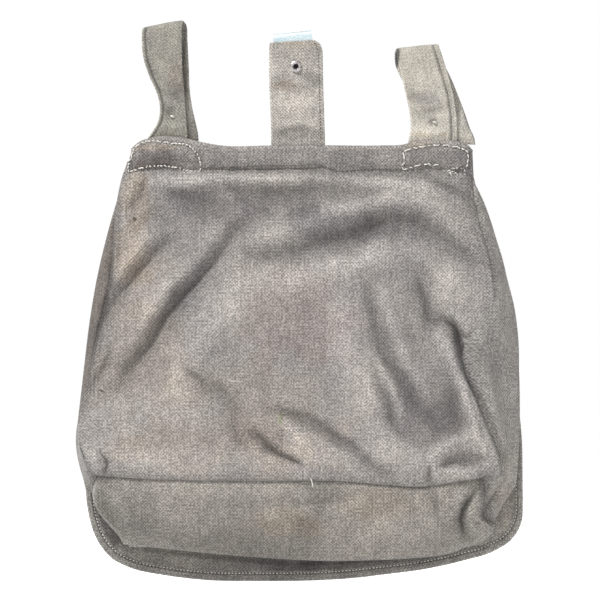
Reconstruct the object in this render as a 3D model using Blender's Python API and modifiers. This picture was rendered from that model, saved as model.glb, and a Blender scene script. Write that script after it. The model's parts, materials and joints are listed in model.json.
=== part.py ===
"""Canvas picking bag worn on a waist belt, hanging upright and empty.

Metres, +Z up. The wearer stands at -Y and the flap hangs at +Y. The origin is the centre of the
rear face of the top band, the strip along which the bag, the flap and the straps are sewn together.
The bag hangs flat: its front wall has sagged below its back wall, so the bottom strip slopes.
"""

import math

import bpy
from mathutils import Matrix, Vector

# ---- driving dimensions -------------------------------------------------------------------------
CLOTH = 0.0012            # one layer of heavy canvas
STRAP_CLOTH = 0.0020      # two layers sewn together
AIR = 0.0003              # gap left between neighbouring pieces

BAND_WIDTH = 0.243
BAND_HEIGHT = 0.019
WALL_HEIGHT = 0.2415      # back wall, from the band's top edge to the bottom seam
WALL_TOP_HALF = 0.1215    # half widths of the back wall
WALL_BOTTOM_HALF = 0.150
FRONT_HEIGHT = 0.222
GUSSET_DEPTH = 0.064      # width of the bottom strip, and depth of the spread bag at its bottom
SAG = 0.058               # how far the flat bag's front wall hangs below its back wall
GUSSET_BULGE = 0.016      # how far the folded side gussets stick out
FRONT_BOTTOM_HALF = 0.134 # the front wall is drawn in at its bottom
BOTTOM_CLEARANCE = 0.005  # between the front wall's bottom edge and the strip that swings under it

FLAP_LENGTH = 0.2995
FLAP_TOP_HALF = 0.122
FLAP_HALF = 0.157
FLAP_SHOULDER = 0.170     # distance down the flap at which its sides become parallel
FLAP_CORNER_X = 0.085     # the elliptical lower corners
FLAP_CORNER_Z = 0.060
BINDING_WIDTH = 0.0075
BINDING_CLOTH = 0.0024
FLAP_HINGE_Y = 0.009
WALL_TO_FLAP = 0.006      # between the middles of the front wall and the flap

STRAP_WIDTH = 0.030
LOOP_X = 0.096
LOOP_BELLY_Z = 0.036      # where the rear leg of a loop bends back a little
LOOP_SPRING_Z = {"left": 0.087, "right": 0.0715}   # where the fold over the belt starts
LOOP_BELLY = 0.0014
LOOP_FOLD_RADIUS = 0.0055
LOOP_FOLD_TAIL = 0.0075   # from the fold down to the hinge line of the buttoned end
LOOP_END_BOTTOM_Z = 0.0135
LOOP_END_BOTTOM_Y = 0.0066
LOOP_BUTTON = {"left": (-0.0922, 0.0282), "right": (0.0968, 0.0239)}   # x and z of its middle

HOOK_TAB_X = -0.003
HOOK_TAB_WIDTH = 0.038
HOOK_TAB_TOP = 0.0825
HOOK_WIDTH = 0.028
HOOK_METAL = 0.0012
HOOK_BOTTOM_Z = 0.050
HOOK_TOP_Z = 0.0882
HOOK_REACH = 0.0076       # between the middles of the plate and the tongue
HOOK_BEND = 0.0022
HOOK_TONGUE_Z = 0.058
HOOK_TIP_Z = 0.052
HOOK_TIP_FLARE = 0.0018
HOOK_TILT = math.radians(6)   # how far the worn hook has turned about its rivet

RIVET_Z = 0.0640
RIVET_BORE = 0.0019
RIVET_BARREL = 0.0025
RIVET_HEAD = 0.0040
RIVET_ROLL = 0.0036
RIVET_HEAD_HEIGHT = 0.0010
RIVET_ROLL_HEIGHT = 0.0008

BUTTON_RADIUS = 0.0070
BUTTON_HEAD = 0.0020
BUTTON_SHANK_RADIUS = 0.0022
BUTTONHOLE_RADIUS = BUTTON_RADIUS + 0.0005

CLOSURE_X = 0.070
CLOSURE_WIDTH = 0.024
CLOSURE_LENGTH = 0.056
CLOSURE_FROM_HINGE = 0.185   # down the flap, to the tab's sewn end
CLOSURE_HOLE = 0.042         # down the tab, to its buttonhole
CLOSURE_LEAN = math.radians(2.8)

ARC_STEPS = 6
CIRCLE_STEPS = 24

# ---- layers through the top seam, from the wearer outwards ---------------------------------------
BAND_Y = CLOTH / 2
BACK_Y = BAND_Y + CLOTH + AIR
STRAP_Y = BACK_Y + CLOTH / 2 + AIR + STRAP_CLOTH / 2
HOOK_Y = STRAP_Y + STRAP_CLOTH / 2 + AIR + HOOK_METAL / 2
STRAP_PIVOT_Z = BAND_HEIGHT / 2 + STRAP_CLOTH / 2 + AIR

WALL_TOP_Z = BAND_HEIGHT / 2
WALL_BOTTOM_Z = WALL_TOP_Z - WALL_HEIGHT
FLAP_HINGE_Z = -BAND_HEIGHT / 2
FRONT_SEAM_Y = BACK_Y + math.sqrt(GUSSET_DEPTH**2 - SAG**2)
FRONT_SEAM_Z = WALL_BOTTOM_Z - SAG

# The front wall and the flap lean out by the same angle, which keeps them WALL_TO_FLAP apart.
RUN = FRONT_SEAM_Y - FLAP_HINGE_Y
DROP = FLAP_HINGE_Z - FRONT_SEAM_Z
LEAN = math.acos(-WALL_TO_FLAP / math.hypot(RUN, DROP)) - math.atan2(DROP, RUN)

STAND_UP = (math.pi / 2, 0, 0)                 # a drawing's Y becomes +Z
STAND_LEANING = (math.pi / 2 + LEAN, 0, 0)     # the same, with its foot forward
SIDE_ON = (math.pi / 2, 0, math.pi / 2)        # a drawing's X and Y become +Y and +Z


def on_slope(down, out):
    """(y, z) of a point on the leaning plane: a distance down it from the flap's hinge, and out of it."""
    y = FLAP_HINGE_Y + down * math.sin(LEAN) + out * math.cos(LEAN)
    z = FLAP_HINGE_Z - down * math.cos(LEAN) + out * math.sin(LEAN)
    return y, z


# ---- materials -----------------------------------------------------------------------------------
def material(name, srgb, roughness, metallic=0.0):
    found = bpy.data.materials.get(name)
    if found:
        return found
    made = bpy.data.materials.new(name)
    made.use_nodes = True
    linear = [((c + 0.055) / 1.055) ** 2.4 for c in srgb]
    shader = made.node_tree.nodes["Principled BSDF"]
    shader.inputs["Base Color"].default_value = (*linear, 1)
    shader.inputs["Roughness"].default_value = roughness
    shader.inputs["Metallic"].default_value = metallic
    made.diffuse_color = (*linear, 1)
    return made


def body_canvas():
    return material("body_canvas", (0.63, 0.60, 0.57), 0.95)


def strap_canvas():
    return material("strap_canvas", (0.74, 0.72, 0.67), 0.95)


def hem_canvas():
    return material("hem_canvas", (0.50, 0.49, 0.47), 0.95)


def hook_metal():
    return material("hook_metal", (0.86, 0.90, 0.91), 0.35, 1.0)


def rivet_metal():
    return material("rivet_metal", (0.60, 0.58, 0.58), 0.40, 1.0)


def button_metal():
    return material("button_metal", (0.36, 0.36, 0.34), 0.55, 1.0)


# ---- drawing tools -------------------------------------------------------------------------------
def start_scene():
    for old in list(bpy.data.objects):
        bpy.data.objects.remove(old)
    parts = bpy.data.collections.new("picking_bag")
    cutters = bpy.data.collections.new("cutters")
    bpy.context.scene.collection.children.link(parts)
    bpy.context.scene.collection.children.link(cutters)
    return parts, cutters


def add(obj, parts, look=None, parent=None):
    """Puts obj in the collection. With a parent, obj keeps its world place and follows the parent."""
    parts.objects.link(obj)
    if look:
        obj.data.materials.append(look)
    if parent:
        hang(obj, parent)
    return obj


def hang(obj, parent):
    """Parents obj and keeps its world place. It is the last step for obj, after its own children."""
    obj.parent = parent
    obj.location = Vector(obj.location) - parent.location


def pivot(name, parts, location):
    empty = bpy.data.objects.new(name, None)
    empty.empty_display_size = 0.01
    empty.location = location
    parts.objects.link(empty)
    return empty


def arc(centre, radii, first, last, steps=ARC_STEPS):
    """Points along an ellipse's arc, both ends included. Angles are in degrees."""
    angles = [math.radians(first + (last - first) * i / steps) for i in range(steps + 1)]
    return [(centre[0] + radii[0] * math.cos(a), centre[1] + radii[1] * math.sin(a)) for a in angles]


def circle(centre, radius):
    return arc(centre, (radius, radius), 0, 360 - 360 / CIRCLE_STEPS, CIRCLE_STEPS - 1)


def rounded_box(half_width, bottom, top, bottom_radii, top_radii, middle=0.0):
    """An upright rectangle. Each pair of radii is (left, right)."""
    left, right = middle - half_width, middle + half_width
    corners = (
        (right, top, top_radii[1], -1, -1, 0),
        (left, top, top_radii[0], 1, -1, 90),
        (left, bottom, bottom_radii[0], 1, 1, 180),
        (right, bottom, bottom_radii[1], -1, 1, 270),
    )
    points = []
    for x, y, radius, inward_x, inward_y, first in corners:
        centre = (x + inward_x * radius, y + inward_y * radius)
        points += arc(centre, (radius, radius), first, first + 90, 3)
    return points


def new_curve(name, outlines, cyclic, extrude):
    data = bpy.data.curves.new(name, "CURVE")
    data.dimensions = "2D"
    data.fill_mode = "BOTH"
    data.extrude = extrude
    for points in outlines:
        spline = data.splines.new("POLY")
        spline.points.add(len(points) - 1)
        for slot, (x, y) in zip(spline.points, points):
            slot.co = (x, y, 0, 1)
        spline.use_cyclic_u = cyclic
    return bpy.data.objects.new(name, data)


def plate(name, outlines, thickness, location, rotation):
    """A flat piece from its outline. Any further outlines inside the first are holes in it."""
    obj = new_curve(name, outlines, True, thickness / 2)
    obj.location = location
    obj.rotation_euler = rotation
    return obj


def strip(name, profile, width, thickness, location):
    """A bent strip, from its side view as (y, z) points relative to location."""
    obj = new_curve(name, [profile], False, width / 2)
    obj.location = location
    obj.rotation_euler = SIDE_ON
    shell = obj.modifiers.new("thickness", "SOLIDIFY")
    shell.thickness = thickness
    shell.offset = 0
    shell.use_even_offset = True
    return obj


def turned(name, profile, closed, location, rotation):
    """A turned piece about its own Z, from (radius, height) points that run down its outer side."""
    mesh = bpy.data.meshes.new(name)
    count = len(profile)
    edges = [(i, (i + 1) % count) for i in range(count if closed else count - 1)]
    mesh.from_pydata([(r, 0, h) for r, h in profile], edges, [])
    obj = bpy.data.objects.new(name, mesh)
    obj.location = location
    obj.rotation_euler = rotation
    screw = obj.modifiers.new("turn", "SCREW")
    screw.steps = CIRCLE_STEPS
    screw.render_steps = CIRCLE_STEPS
    screw.use_merge_vertices = True
    screw.merge_threshold = 0.00001
    screw.use_smooth_shade = False
    return obj


def loft(name, sections, thickness):
    """A sheet through rows of points, each row joined to the next, given an even thickness."""
    width = len(sections[0])
    points = [p for row in sections for p in row]
    faces = [
        (r * width + c, r * width + c + 1, (r + 1) * width + c + 1, (r + 1) * width + c)
        for r in range(len(sections) - 1)
        for c in range(width - 1)
    ]
    mesh = bpy.data.meshes.new(name)
    mesh.from_pydata(points, [], faces)
    obj = bpy.data.objects.new(name, mesh)
    shell = obj.modifiers.new("thickness", "SOLIDIFY")
    shell.thickness = thickness
    shell.offset = 0
    return obj


# ---- the bag -------------------------------------------------------------------------------------
def wall_outline(bottom_half, height, bottom):
    """A wall, wider at its bottom. It is drawn upwards from its bottom edge."""
    top = bottom + height
    return [
        (-bottom_half, bottom),
        (bottom_half, bottom),
        (WALL_TOP_HALF, top),
        (-WALL_TOP_HALF, top),
    ]


def make_band(parts):
    half = BAND_HEIGHT / 2
    outline = rounded_box(BAND_WIDTH / 2, -half, half, (0.001, 0.001), (0.005, 0.005))
    add(plate("top_band", [outline], CLOTH, (0, BAND_Y, 0), STAND_UP), parts, body_canvas())


def make_walls(parts, front):
    outline = wall_outline(WALL_BOTTOM_HALF, WALL_HEIGHT, 0)
    back = plate("back_panel", [outline], CLOTH, (0, BACK_Y, WALL_BOTTOM_Z), STAND_UP)
    add(back, parts, body_canvas())
    outline = wall_outline(FRONT_BOTTOM_HALF, FRONT_HEIGHT - BOTTOM_CLEARANCE, BOTTOM_CLEARANCE)
    wall = plate("front_panel", [outline], CLOTH, (0, FRONT_SEAM_Y, FRONT_SEAM_Z), STAND_LEANING)
    add(wall, parts, body_canvas(), front)


def make_bottom(parts):
    """The bottom strip. Its origin is the seam under the back wall, about which it swings."""
    slope = math.atan2(SAG, FRONT_SEAM_Y - BACK_Y)
    near_half = WALL_BOTTOM_HALF - CLOTH - AIR
    far_half = FRONT_BOTTOM_HALF - CLOTH - AIR
    near, far = -CLOTH, CLOTH - GUSSET_DEPTH
    outline = [(-far_half, far), (far_half, far), (near_half, near), (-near_half, near)]
    axis = (0, BACK_Y, WALL_BOTTOM_Z - CLOTH - AIR)
    lying = (math.pi - slope, 0, 0)
    add(plate("bottom_gusset", [outline], CLOTH, axis, lying), parts, body_canvas())


def gusset_lines(side, share):
    """The back edge, the crease and the front edge of a side gusset, at a share of the way down it."""
    clear = CLOTH / 2 + 2 * AIR
    back_up = (WALL_HEIGHT - BAND_HEIGHT - AIR) * (1 - share)
    front_up = BOTTOM_CLEARANCE + (FRONT_HEIGHT - BOTTOM_CLEARANCE) * (1 - share)
    spread = (WALL_BOTTOM_HALF - WALL_TOP_HALF) / WALL_HEIGHT
    back = Vector((0, BACK_Y, WALL_BOTTOM_Z + back_up))
    back.x = side * (WALL_BOTTOM_HALF - spread * back_up + clear)
    up_the_front = Vector((0, -math.sin(LEAN), math.cos(LEAN)))
    front = Vector((0, FRONT_SEAM_Y, FRONT_SEAM_Z)) + front_up * up_the_front
    narrowing = (FRONT_BOTTOM_HALF - WALL_TOP_HALF) / FRONT_HEIGHT
    front.x = side * (FRONT_BOTTOM_HALF - narrowing * front_up + clear)
    crease = (back + front) / 2
    bulge = CLOTH + GUSSET_BULGE * math.sin(math.pi * share)
    crease.x = side * (WALL_BOTTOM_HALF - spread * (crease.z - WALL_BOTTOM_Z) + clear + bulge)
    return back, crease, front


def make_side_gusset(parts, side_name, side, front_wall):
    """The side gusset hangs folded along its crease. Its two leaves follow the two walls."""
    rear_rows, front_rows = [], []
    half_gap = Vector((0, CLOTH / 2 + AIR, 0))
    for i in range(ARC_STEPS + 1):
        back, crease, front = gusset_lines(side, i / ARC_STEPS)
        rear_rows.append([back, crease - half_gap][::side])
        front_rows.append([crease + half_gap, front][::side])
    rear = loft("side_gusset_%s_rear" % side_name, rear_rows, CLOTH)
    add(rear, parts, body_canvas())
    fore = loft("side_gusset_%s_front" % side_name, front_rows, CLOTH)
    add(fore, parts, body_canvas(), front_wall)


# ---- the flap ------------------------------------------------------------------------------------
def flap_edge(inset):
    """The flap's edge, drawn down from its hinge: its left side, its lower corners, its right side."""
    corner = -(FLAP_LENGTH - FLAP_CORNER_Z)
    radii = (FLAP_CORNER_X - inset, FLAP_CORNER_Z - inset)
    centre = FLAP_HALF - FLAP_CORNER_X
    left = [(-FLAP_TOP_HALF + inset, -CLOTH), (-FLAP_HALF + inset, -FLAP_SHOULDER)]
    left += arc((-centre, corner), radii, 180, 270)
    return left + [(-x, y) for x, y in reversed(left)]


def make_flap(parts, hinge):
    at = (0, FLAP_HINGE_Y, FLAP_HINGE_Z)
    sheet = plate("flap", [flap_edge(BINDING_WIDTH + AIR)], CLOTH, at, STAND_LEANING)
    add(sheet, parts, body_canvas(), hinge)
    band = flap_edge(0) + flap_edge(BINDING_WIDTH)[::-1]
    binding = plate("flap_binding", [band], BINDING_CLOTH, at, STAND_LEANING)
    add(binding, parts, hem_canvas(), hinge)


def make_closure(parts, side_name, side, hinge, front):
    """A tab sewn inside the flap, and the button on the front wall that it closes over."""
    out = -(CLOTH / 2 + AIR + CLOTH / 2)
    y, z = on_slope(CLOSURE_FROM_HINGE, out)
    sewn = pivot("closure_tab_axis_" + side_name, parts, (side * CLOSURE_X, y, z))
    outline = rounded_box(CLOSURE_WIDTH / 2, -CLOSURE_LENGTH, 0, (0.008, 0.008), (0.001, 0.001))
    hole = circle((0, -CLOSURE_HOLE), BUTTONHOLE_RADIUS)
    turn = (math.pi / 2 + LEAN - CLOSURE_LEAN, 0, 0)
    tab = plate("closure_tab_" + side_name, [outline, hole], CLOTH, sewn.location, turn)
    add(tab, parts, strap_canvas(), sewn)
    hang(sewn, hinge)
    down = CLOSURE_FROM_HINGE + CLOSURE_HOLE * math.cos(CLOSURE_LEAN)
    y, z = on_slope(down, -WALL_TO_FLAP + CLOTH / 2 + AIR)
    facing_out = (-math.pi / 2 + LEAN, 0, 0)
    height = WALL_TO_FLAP - CLOTH - 4 * AIR
    place = (side * CLOSURE_X, y, z)
    button = turned("closure_button_" + side_name, button_profile(height), False, place, facing_out)
    add(button, parts, button_metal(), front)


def button_profile(height):
    """A domed button on a thread shank, standing height above the cloth."""
    under = height - BUTTON_HEAD
    return [
        (0, height),
        (BUTTON_RADIUS * 0.75, height),
        (BUTTON_RADIUS, height - BUTTON_HEAD * 0.35),
        (BUTTON_RADIUS, under + BUTTON_HEAD * 0.15),
        (BUTTON_SHANK_RADIUS, under),
        (BUTTON_SHANK_RADIUS, 0),
        (0, 0),
    ]


# ---- the straps ----------------------------------------------------------------------------------
def loop_profile(spring_z):
    """The loop's rear leg and the fold over the belt, relative to the pivot above the band."""
    foot = (0, 0)
    belly = (0, LOOP_BELLY_Z - STRAP_PIVOT_Z)
    spring = (-LOOP_BELLY, spring_z - STRAP_PIVOT_Z)
    fold = arc((spring[0] + LOOP_FOLD_RADIUS, spring[1]), (LOOP_FOLD_RADIUS, LOOP_FOLD_RADIUS), 180, 0)
    front = (spring[0] + 2 * LOOP_FOLD_RADIUS, spring[1] - LOOP_FOLD_TAIL + AIR)
    return [foot, belly] + fold + [front]


def make_loop(parts, side_name, side):
    swing = pivot("belt_loop_axis_" + side_name, parts, (side * LOOP_X, STRAP_Y, STRAP_PIVOT_Z))
    spring_z = LOOP_SPRING_Z[side_name]
    profile = loop_profile(spring_z)
    leg = strip("belt_loop_" + side_name, profile, STRAP_WIDTH, STRAP_CLOTH, swing.location)
    add(leg, parts, strap_canvas(), swing)

    top_y = STRAP_Y + profile[-1][0]
    top_z = spring_z - LOOP_FOLD_TAIL
    run = top_y - LOOP_END_BOTTOM_Y
    drop = top_z - LOOP_END_BOTTOM_Z
    lean = -math.atan2(run, drop)
    length = math.hypot(run, drop)
    outline = rounded_box(STRAP_WIDTH / 2, -length, -AIR, (0.006, 0.006), (0.0005, 0.0005))
    button_x, button_z = LOOP_BUTTON[side_name]
    hole = circle((button_x - side * LOOP_X, -(top_z - button_z) / math.cos(lean)), BUTTONHOLE_RADIUS)
    on_fold = (side * LOOP_X, top_y + STRAP_CLOTH / 2, top_z)
    fold_line = pivot("belt_loop_end_axis_" + side_name, parts, on_fold)
    at = (side * LOOP_X, top_y, top_z)
    turn = (math.pi / 2 + lean, 0, 0)
    end = plate("belt_loop_end_" + side_name, [outline, hole], STRAP_CLOTH, at, turn)
    add(end, parts, strap_canvas(), fold_line)
    hang(fold_line, swing)

    face = STRAP_Y + STRAP_CLOTH / 2 + AIR
    place = (button_x, face, button_z)
    height = HOOK_METAL + STRAP_CLOTH + 3 * AIR
    name = "belt_loop_button_" + side_name
    button = turned(name, button_profile(height), False, place, (-math.pi / 2, 0, 0))
    add(button, parts, button_metal(), swing)


def make_hook_tab(parts, cutters):
    swing = pivot("hook_tab_axis", parts, (HOOK_TAB_X, STRAP_Y, STRAP_PIVOT_Z))
    outline = rounded_box(
        HOOK_TAB_WIDTH / 2, AIR, HOOK_TAB_TOP - STRAP_PIVOT_Z, (0.0005, 0.0005), (0.0015, 0.006)
    )
    hole = circle((0, RIVET_Z - STRAP_PIVOT_Z), RIVET_BARREL + AIR)
    tab = plate("hook_tab", [outline, hole], STRAP_CLOTH, swing.location, STAND_UP)
    add(tab, parts, strap_canvas(), swing)
    make_hook(parts, cutters, swing)
    make_rivet(parts, swing)


def make_hook(parts, cutters, swing):
    """A bent sheet-metal hook, riveted to the tab's outer side, with its tongue pointing down."""
    bend = (HOOK_BEND, HOOK_BEND)
    top = HOOK_TOP_Z - RIVET_Z
    profile = [(0, HOOK_BOTTOM_Z - RIVET_Z)]
    profile += arc((HOOK_BEND, top - HOOK_BEND), bend, 180, 90, 4)
    profile += arc((HOOK_REACH - HOOK_BEND, top - HOOK_BEND), bend, 90, 0, 4)
    profile += [(HOOK_REACH, HOOK_TONGUE_Z - RIVET_Z), (HOOK_REACH + HOOK_TIP_FLARE, HOOK_TIP_Z - RIVET_Z)]
    place = Vector((HOOK_TAB_X, HOOK_Y, RIVET_Z))
    drawn = strip("hook_drawing", profile, HOOK_WIDTH, HOOK_METAL, place)
    parts.objects.link(drawn)
    bpy.context.view_layer.update()
    graph = bpy.context.evaluated_depsgraph_get()
    mesh = bpy.data.meshes.new_from_object(drawn.evaluated_get(graph))
    mesh.name = "belt_hook"
    hook = bpy.data.objects.new("belt_hook", mesh)
    tilt = Matrix.Translation(place) @ Matrix.Rotation(-HOOK_TILT, 4, "Y") @ Matrix.Translation(-place)
    hook.matrix_world = tilt @ drawn.matrix_world
    bpy.data.objects.remove(drawn)
    mesh.materials.clear()
    add(hook, parts, hook_metal(), swing)

    bpy.ops.mesh.primitive_cylinder_add(
        vertices=CIRCLE_STEPS,
        radius=RIVET_BARREL + AIR,
        depth=4 * HOOK_METAL,
        location=place,
        rotation=(math.pi / 2, 0, 0),
    )
    drill = bpy.context.object
    drill.name = "rivet_drill"
    drill.display_type = "WIRE"
    drill.hide_render = True
    for home in list(drill.users_collection):
        home.objects.unlink(drill)
    cutters.objects.link(drill)
    cut = hook.modifiers.new("rivet_hole", "BOOLEAN")
    cut.operation = "DIFFERENCE"
    cut.object = drill


def make_rivet(parts, swing):
    """A hollow rivet: its head bears on the tab, and its far end is rolled over the hook's plate."""
    head = RIVET_HEAD_HEIGHT + AIR
    roll_top = -(STRAP_CLOTH + AIR + HOOK_METAL + AIR)
    roll_foot = roll_top - RIVET_ROLL_HEIGHT
    profile = [
        (RIVET_BORE + 0.0004, head),
        (RIVET_HEAD - 0.0006, head),
        (RIVET_HEAD, head - 0.0004),
        (RIVET_HEAD, AIR),
        (RIVET_BARREL, AIR),
        (RIVET_BARREL, roll_top),
        (RIVET_ROLL, roll_top),
        (RIVET_ROLL, roll_foot + 0.0003),
        (RIVET_ROLL - 0.0005, roll_foot),
        (RIVET_BORE, roll_foot),
        (RIVET_BORE, head - 0.0004),
    ]
    place = (HOOK_TAB_X, STRAP_Y - STRAP_CLOTH / 2, RIVET_Z)
    rivet = turned("hook_rivet", profile, True, place, STAND_UP)
    add(rivet, parts, rivet_metal(), swing)


def main():
    parts, cutters = start_scene()
    front = pivot("front_wall_seam", parts, (0, FRONT_SEAM_Y, FRONT_SEAM_Z))
    hinge = pivot("flap_axis", parts, (0, FLAP_HINGE_Y, FLAP_HINGE_Z))
    make_band(parts)
    make_walls(parts, front)
    make_bottom(parts)
    make_flap(parts, hinge)
    make_hook_tab(parts, cutters)
    for side_name, side in (("left", -1), ("right", 1)):
        make_side_gusset(parts, side_name, side, front)
        make_closure(parts, side_name, side, hinge, front)
        make_loop(parts, side_name, side)


main()
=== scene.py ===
"""Looks of the canvas picking bag: sculpted cloth, straps, stitching, hardware and materials.

Row frame, in metres: +Z is up, +X is to the right seen from the wearer's side, and the wearer is at -Y.
Cloth is drawn in millimetres as (x, down): x from the bag's middle, down from the band's top edge.
"""
import json
import math

import bpy
import numpy as np
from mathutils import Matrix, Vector

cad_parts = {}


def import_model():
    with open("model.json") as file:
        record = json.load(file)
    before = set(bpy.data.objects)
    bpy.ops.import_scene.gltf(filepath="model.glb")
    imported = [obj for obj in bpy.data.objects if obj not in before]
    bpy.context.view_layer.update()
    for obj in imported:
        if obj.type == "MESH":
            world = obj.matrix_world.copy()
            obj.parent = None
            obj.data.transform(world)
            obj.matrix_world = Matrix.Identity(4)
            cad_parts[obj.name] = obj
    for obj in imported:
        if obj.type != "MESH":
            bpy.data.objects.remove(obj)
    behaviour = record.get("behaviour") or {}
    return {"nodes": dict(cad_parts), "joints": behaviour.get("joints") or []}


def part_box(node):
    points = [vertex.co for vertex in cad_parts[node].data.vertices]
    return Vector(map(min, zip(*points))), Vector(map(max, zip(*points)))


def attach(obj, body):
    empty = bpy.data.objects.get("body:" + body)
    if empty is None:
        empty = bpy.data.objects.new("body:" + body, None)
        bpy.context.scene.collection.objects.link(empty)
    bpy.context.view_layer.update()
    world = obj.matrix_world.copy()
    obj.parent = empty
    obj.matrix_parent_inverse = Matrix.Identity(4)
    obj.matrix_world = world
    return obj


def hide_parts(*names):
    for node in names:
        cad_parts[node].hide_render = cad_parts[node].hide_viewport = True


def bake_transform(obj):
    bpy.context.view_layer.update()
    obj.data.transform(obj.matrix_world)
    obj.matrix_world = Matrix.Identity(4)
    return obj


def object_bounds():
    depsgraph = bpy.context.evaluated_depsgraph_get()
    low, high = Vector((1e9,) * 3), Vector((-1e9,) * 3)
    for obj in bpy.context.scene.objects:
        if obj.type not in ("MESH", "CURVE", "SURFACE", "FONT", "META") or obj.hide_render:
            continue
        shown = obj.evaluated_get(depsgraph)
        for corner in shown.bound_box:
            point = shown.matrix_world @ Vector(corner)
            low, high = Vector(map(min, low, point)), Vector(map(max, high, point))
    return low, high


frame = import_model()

cad_low, cad_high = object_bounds()

MM = 0.001
CANVAS = 1.2
STRAP = 2.0
JOINTS = {joint["name"]: joint for joint in frame["joints"]}


def box_mm(node):
    low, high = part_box(node)
    return np.array(low) / MM, np.array(high) / MM


BAND_LOW, BAND_HIGH = box_mm("top_band")
WALL_LOW, WALL_HIGH = box_mm("back_panel")
FRONT_LOW, FRONT_HIGH = box_mm("front_panel")
FLAP_LOW, FLAP_HIGH = box_mm("flap_binding")
TOP = BAND_HIGH[2]
BACK_Y = (WALL_LOW[1] + WALL_HIGH[1]) / 2
SEAM_DOWN = TOP - WALL_LOW[2]
HINGE = np.array(JOINTS["flap_open"]["pos_m"]) / MM
FRONT_TOP_DOWN = TOP - FRONT_HIGH[2]
FRONT_FOOT_DOWN = TOP - FRONT_LOW[2]


# ---- shapes from lines ----
NOISE_CELLS = 64


def through(*pairs):
    """A smooth function through (t, value) pairs. A value is a number or a point."""
    t = np.array([pair[0] for pair in pairs], float)
    values = np.array([pair[1] for pair in pairs], float)
    slopes = np.gradient(values, t, axis=0)

    def curve(at):
        at = np.clip(np.asarray(at, float), t[0], t[-1])
        i = np.clip(np.searchsorted(t, at) - 1, 0, len(t) - 2)
        span = t[i + 1] - t[i]
        s = (at - t[i]) / span
        if values.ndim > 1:
            s = s[..., None]
            span = span[..., None]
        rise = values[i] * (1 + 2 * s) * (1 - s) ** 2 + values[i + 1] * s * s * (3 - 2 * s)
        return rise + span * s * (1 - s) * (slopes[i] * (1 - s) - slopes[i + 1] * s)

    return curve


def along(points):
    """A smooth curve through points, from 0 at the first to 1 at the last, at an even pace."""
    points = np.array(points, float)
    steps = np.linalg.norm(np.diff(points, axis=0), axis=1)
    t = np.concatenate([[0], np.cumsum(steps)]) / steps.sum()
    return through(*zip(t, points))


def noise(x, y, size, seed):
    """Smooth random values from -1 to 1, with features of about the given size."""
    grid = np.random.default_rng(seed).uniform(-1, 1, (NOISE_CELLS, NOISE_CELLS))
    x = np.asarray(x, float) / size + 100
    y = np.asarray(y, float) / size + 100
    i, j = np.floor(x).astype(int), np.floor(y).astype(int)
    s, t = x - i, y - j
    s, t = s * s * (3 - 2 * s), t * t * (3 - 2 * t)
    (i, i1), (j, j1) = ((k % NOISE_CELLS, (k + 1) % NOISE_CELLS) for k in (i, j))
    low = grid[i, j] * (1 - s) + grid[i1, j] * s
    high = grid[i, j1] * (1 - s) + grid[i1, j1] * s
    return low * (1 - t) + high * t


def mix(a, b, share):
    return a + (b - a) * share


def smooth(low, high, value):
    s = np.clip((value - low) / (high - low), 0, 1)
    return s * s * (3 - 2 * s)


def bump(distance, width):
    """1 at distance 0, fading to 0 over about the width on both sides."""
    return np.exp(-((distance / width) ** 2))


def near_line(x, down, points, width):
    """1 on the middle of a stroke, fading to 0 at its sides and its ends."""
    best = np.full(np.shape(x), 1e9)
    share = np.zeros(np.shape(x))
    points = np.array(points, float)
    steps = np.linalg.norm(np.diff(points, axis=0), axis=1)
    before = 0.0
    for a, b, step in zip(points[:-1], points[1:], steps):
        way = (b - a) / step
        s = np.clip((x - a[0]) * way[0] + (down - a[1]) * way[1], 0, step)
        d = np.hypot(x - a[0] - s * way[0], down - a[1] - s * way[1])
        closer = d < best
        best = np.where(closer, d, best)
        share = np.where(closer, (before + s) / steps.sum(), share)
        before += step
    taper = np.sin(math.pi * (0.06 + 0.88 * share)) ** 0.7
    return taper * bump(best, width)


def strokes(x, down, marks):
    """The sum of strokes, each given as its height, its half width and the points of its line."""
    return sum(rise * near_line(x, down, points, width) for rise, width, points in marks)


# ---- outlines of the bag, in (x, down) ----
left_seam = through(
    (0, -120), (15, -124.5), (26, -128), (54, -133), (81, -134.5), (102, -137), (122, -142),
    (151, -148), (179, -153.5), (193, -157.5), (214, -159.5), (232, -156), (241, -150),
)
right_seam = through(
    (0, 124), (24, 123.6), (40, 125.5), (55, 128.5), (78, 135), (100, 139.3), (112, 140.3), (122, 137.5),
    (132, 128.5), (141, 119.8), (150, 116.8), (163, 117.4), (174, 121), (180.5, 124.2), (198.5, 131.6),
    (216, 138.8), (231, 144), (241, 144.6),
)
left_tuck = through((20, 1.0), (60, 0.7), (120, 0.8), (200, 0.6), (240, 0.5))
right_tuck = through((20, 0.7), (60, 0.35), (108, 0.08), (134, 0.08), (146, 0.8), (160, 1.0), (240, 1.0))
right_roll = through((20, 9), (130, 9), (146, 3), (156, 2.2), (240, 2.2))
bottom_seam = through(
    (-158, 231), (-155, 233.5), (-151, 238), (-145, 239.8), (-122, 241.7), (-44, 244), (32, 244),
    (64, 246.8), (84, 248), (97, 247.3), (113, 244.5), (127, 242.4), (131, 241.2), (133.5, 239.2),
    (138, 239.8), (146, 241),
)
strip_foot = through(
    (-128, 290), (-114, 291.6), (-73, 296), (-25, 300), (0, 301.6), (28, 302.4), (50, 301.8),
    (77, 300.6), (103, 298), (129, 291),
)
strip_left = along([
    (-145, 240.8), (-148.3, 248), (-148.8, 255.4), (-147.4, 261.5), (-143.4, 268.6), (-136.8, 277),
    (-130.8, 284.2), (-127.5, 290.5),
])
strip_right = along([
    (130.3, 242), (131.6, 248), (132.4, 255), (131.6, 263), (131.4, 270), (135, 273.8), (141.4, 277.6),
    (138.5, 283.8), (129, 291),
])
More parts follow.
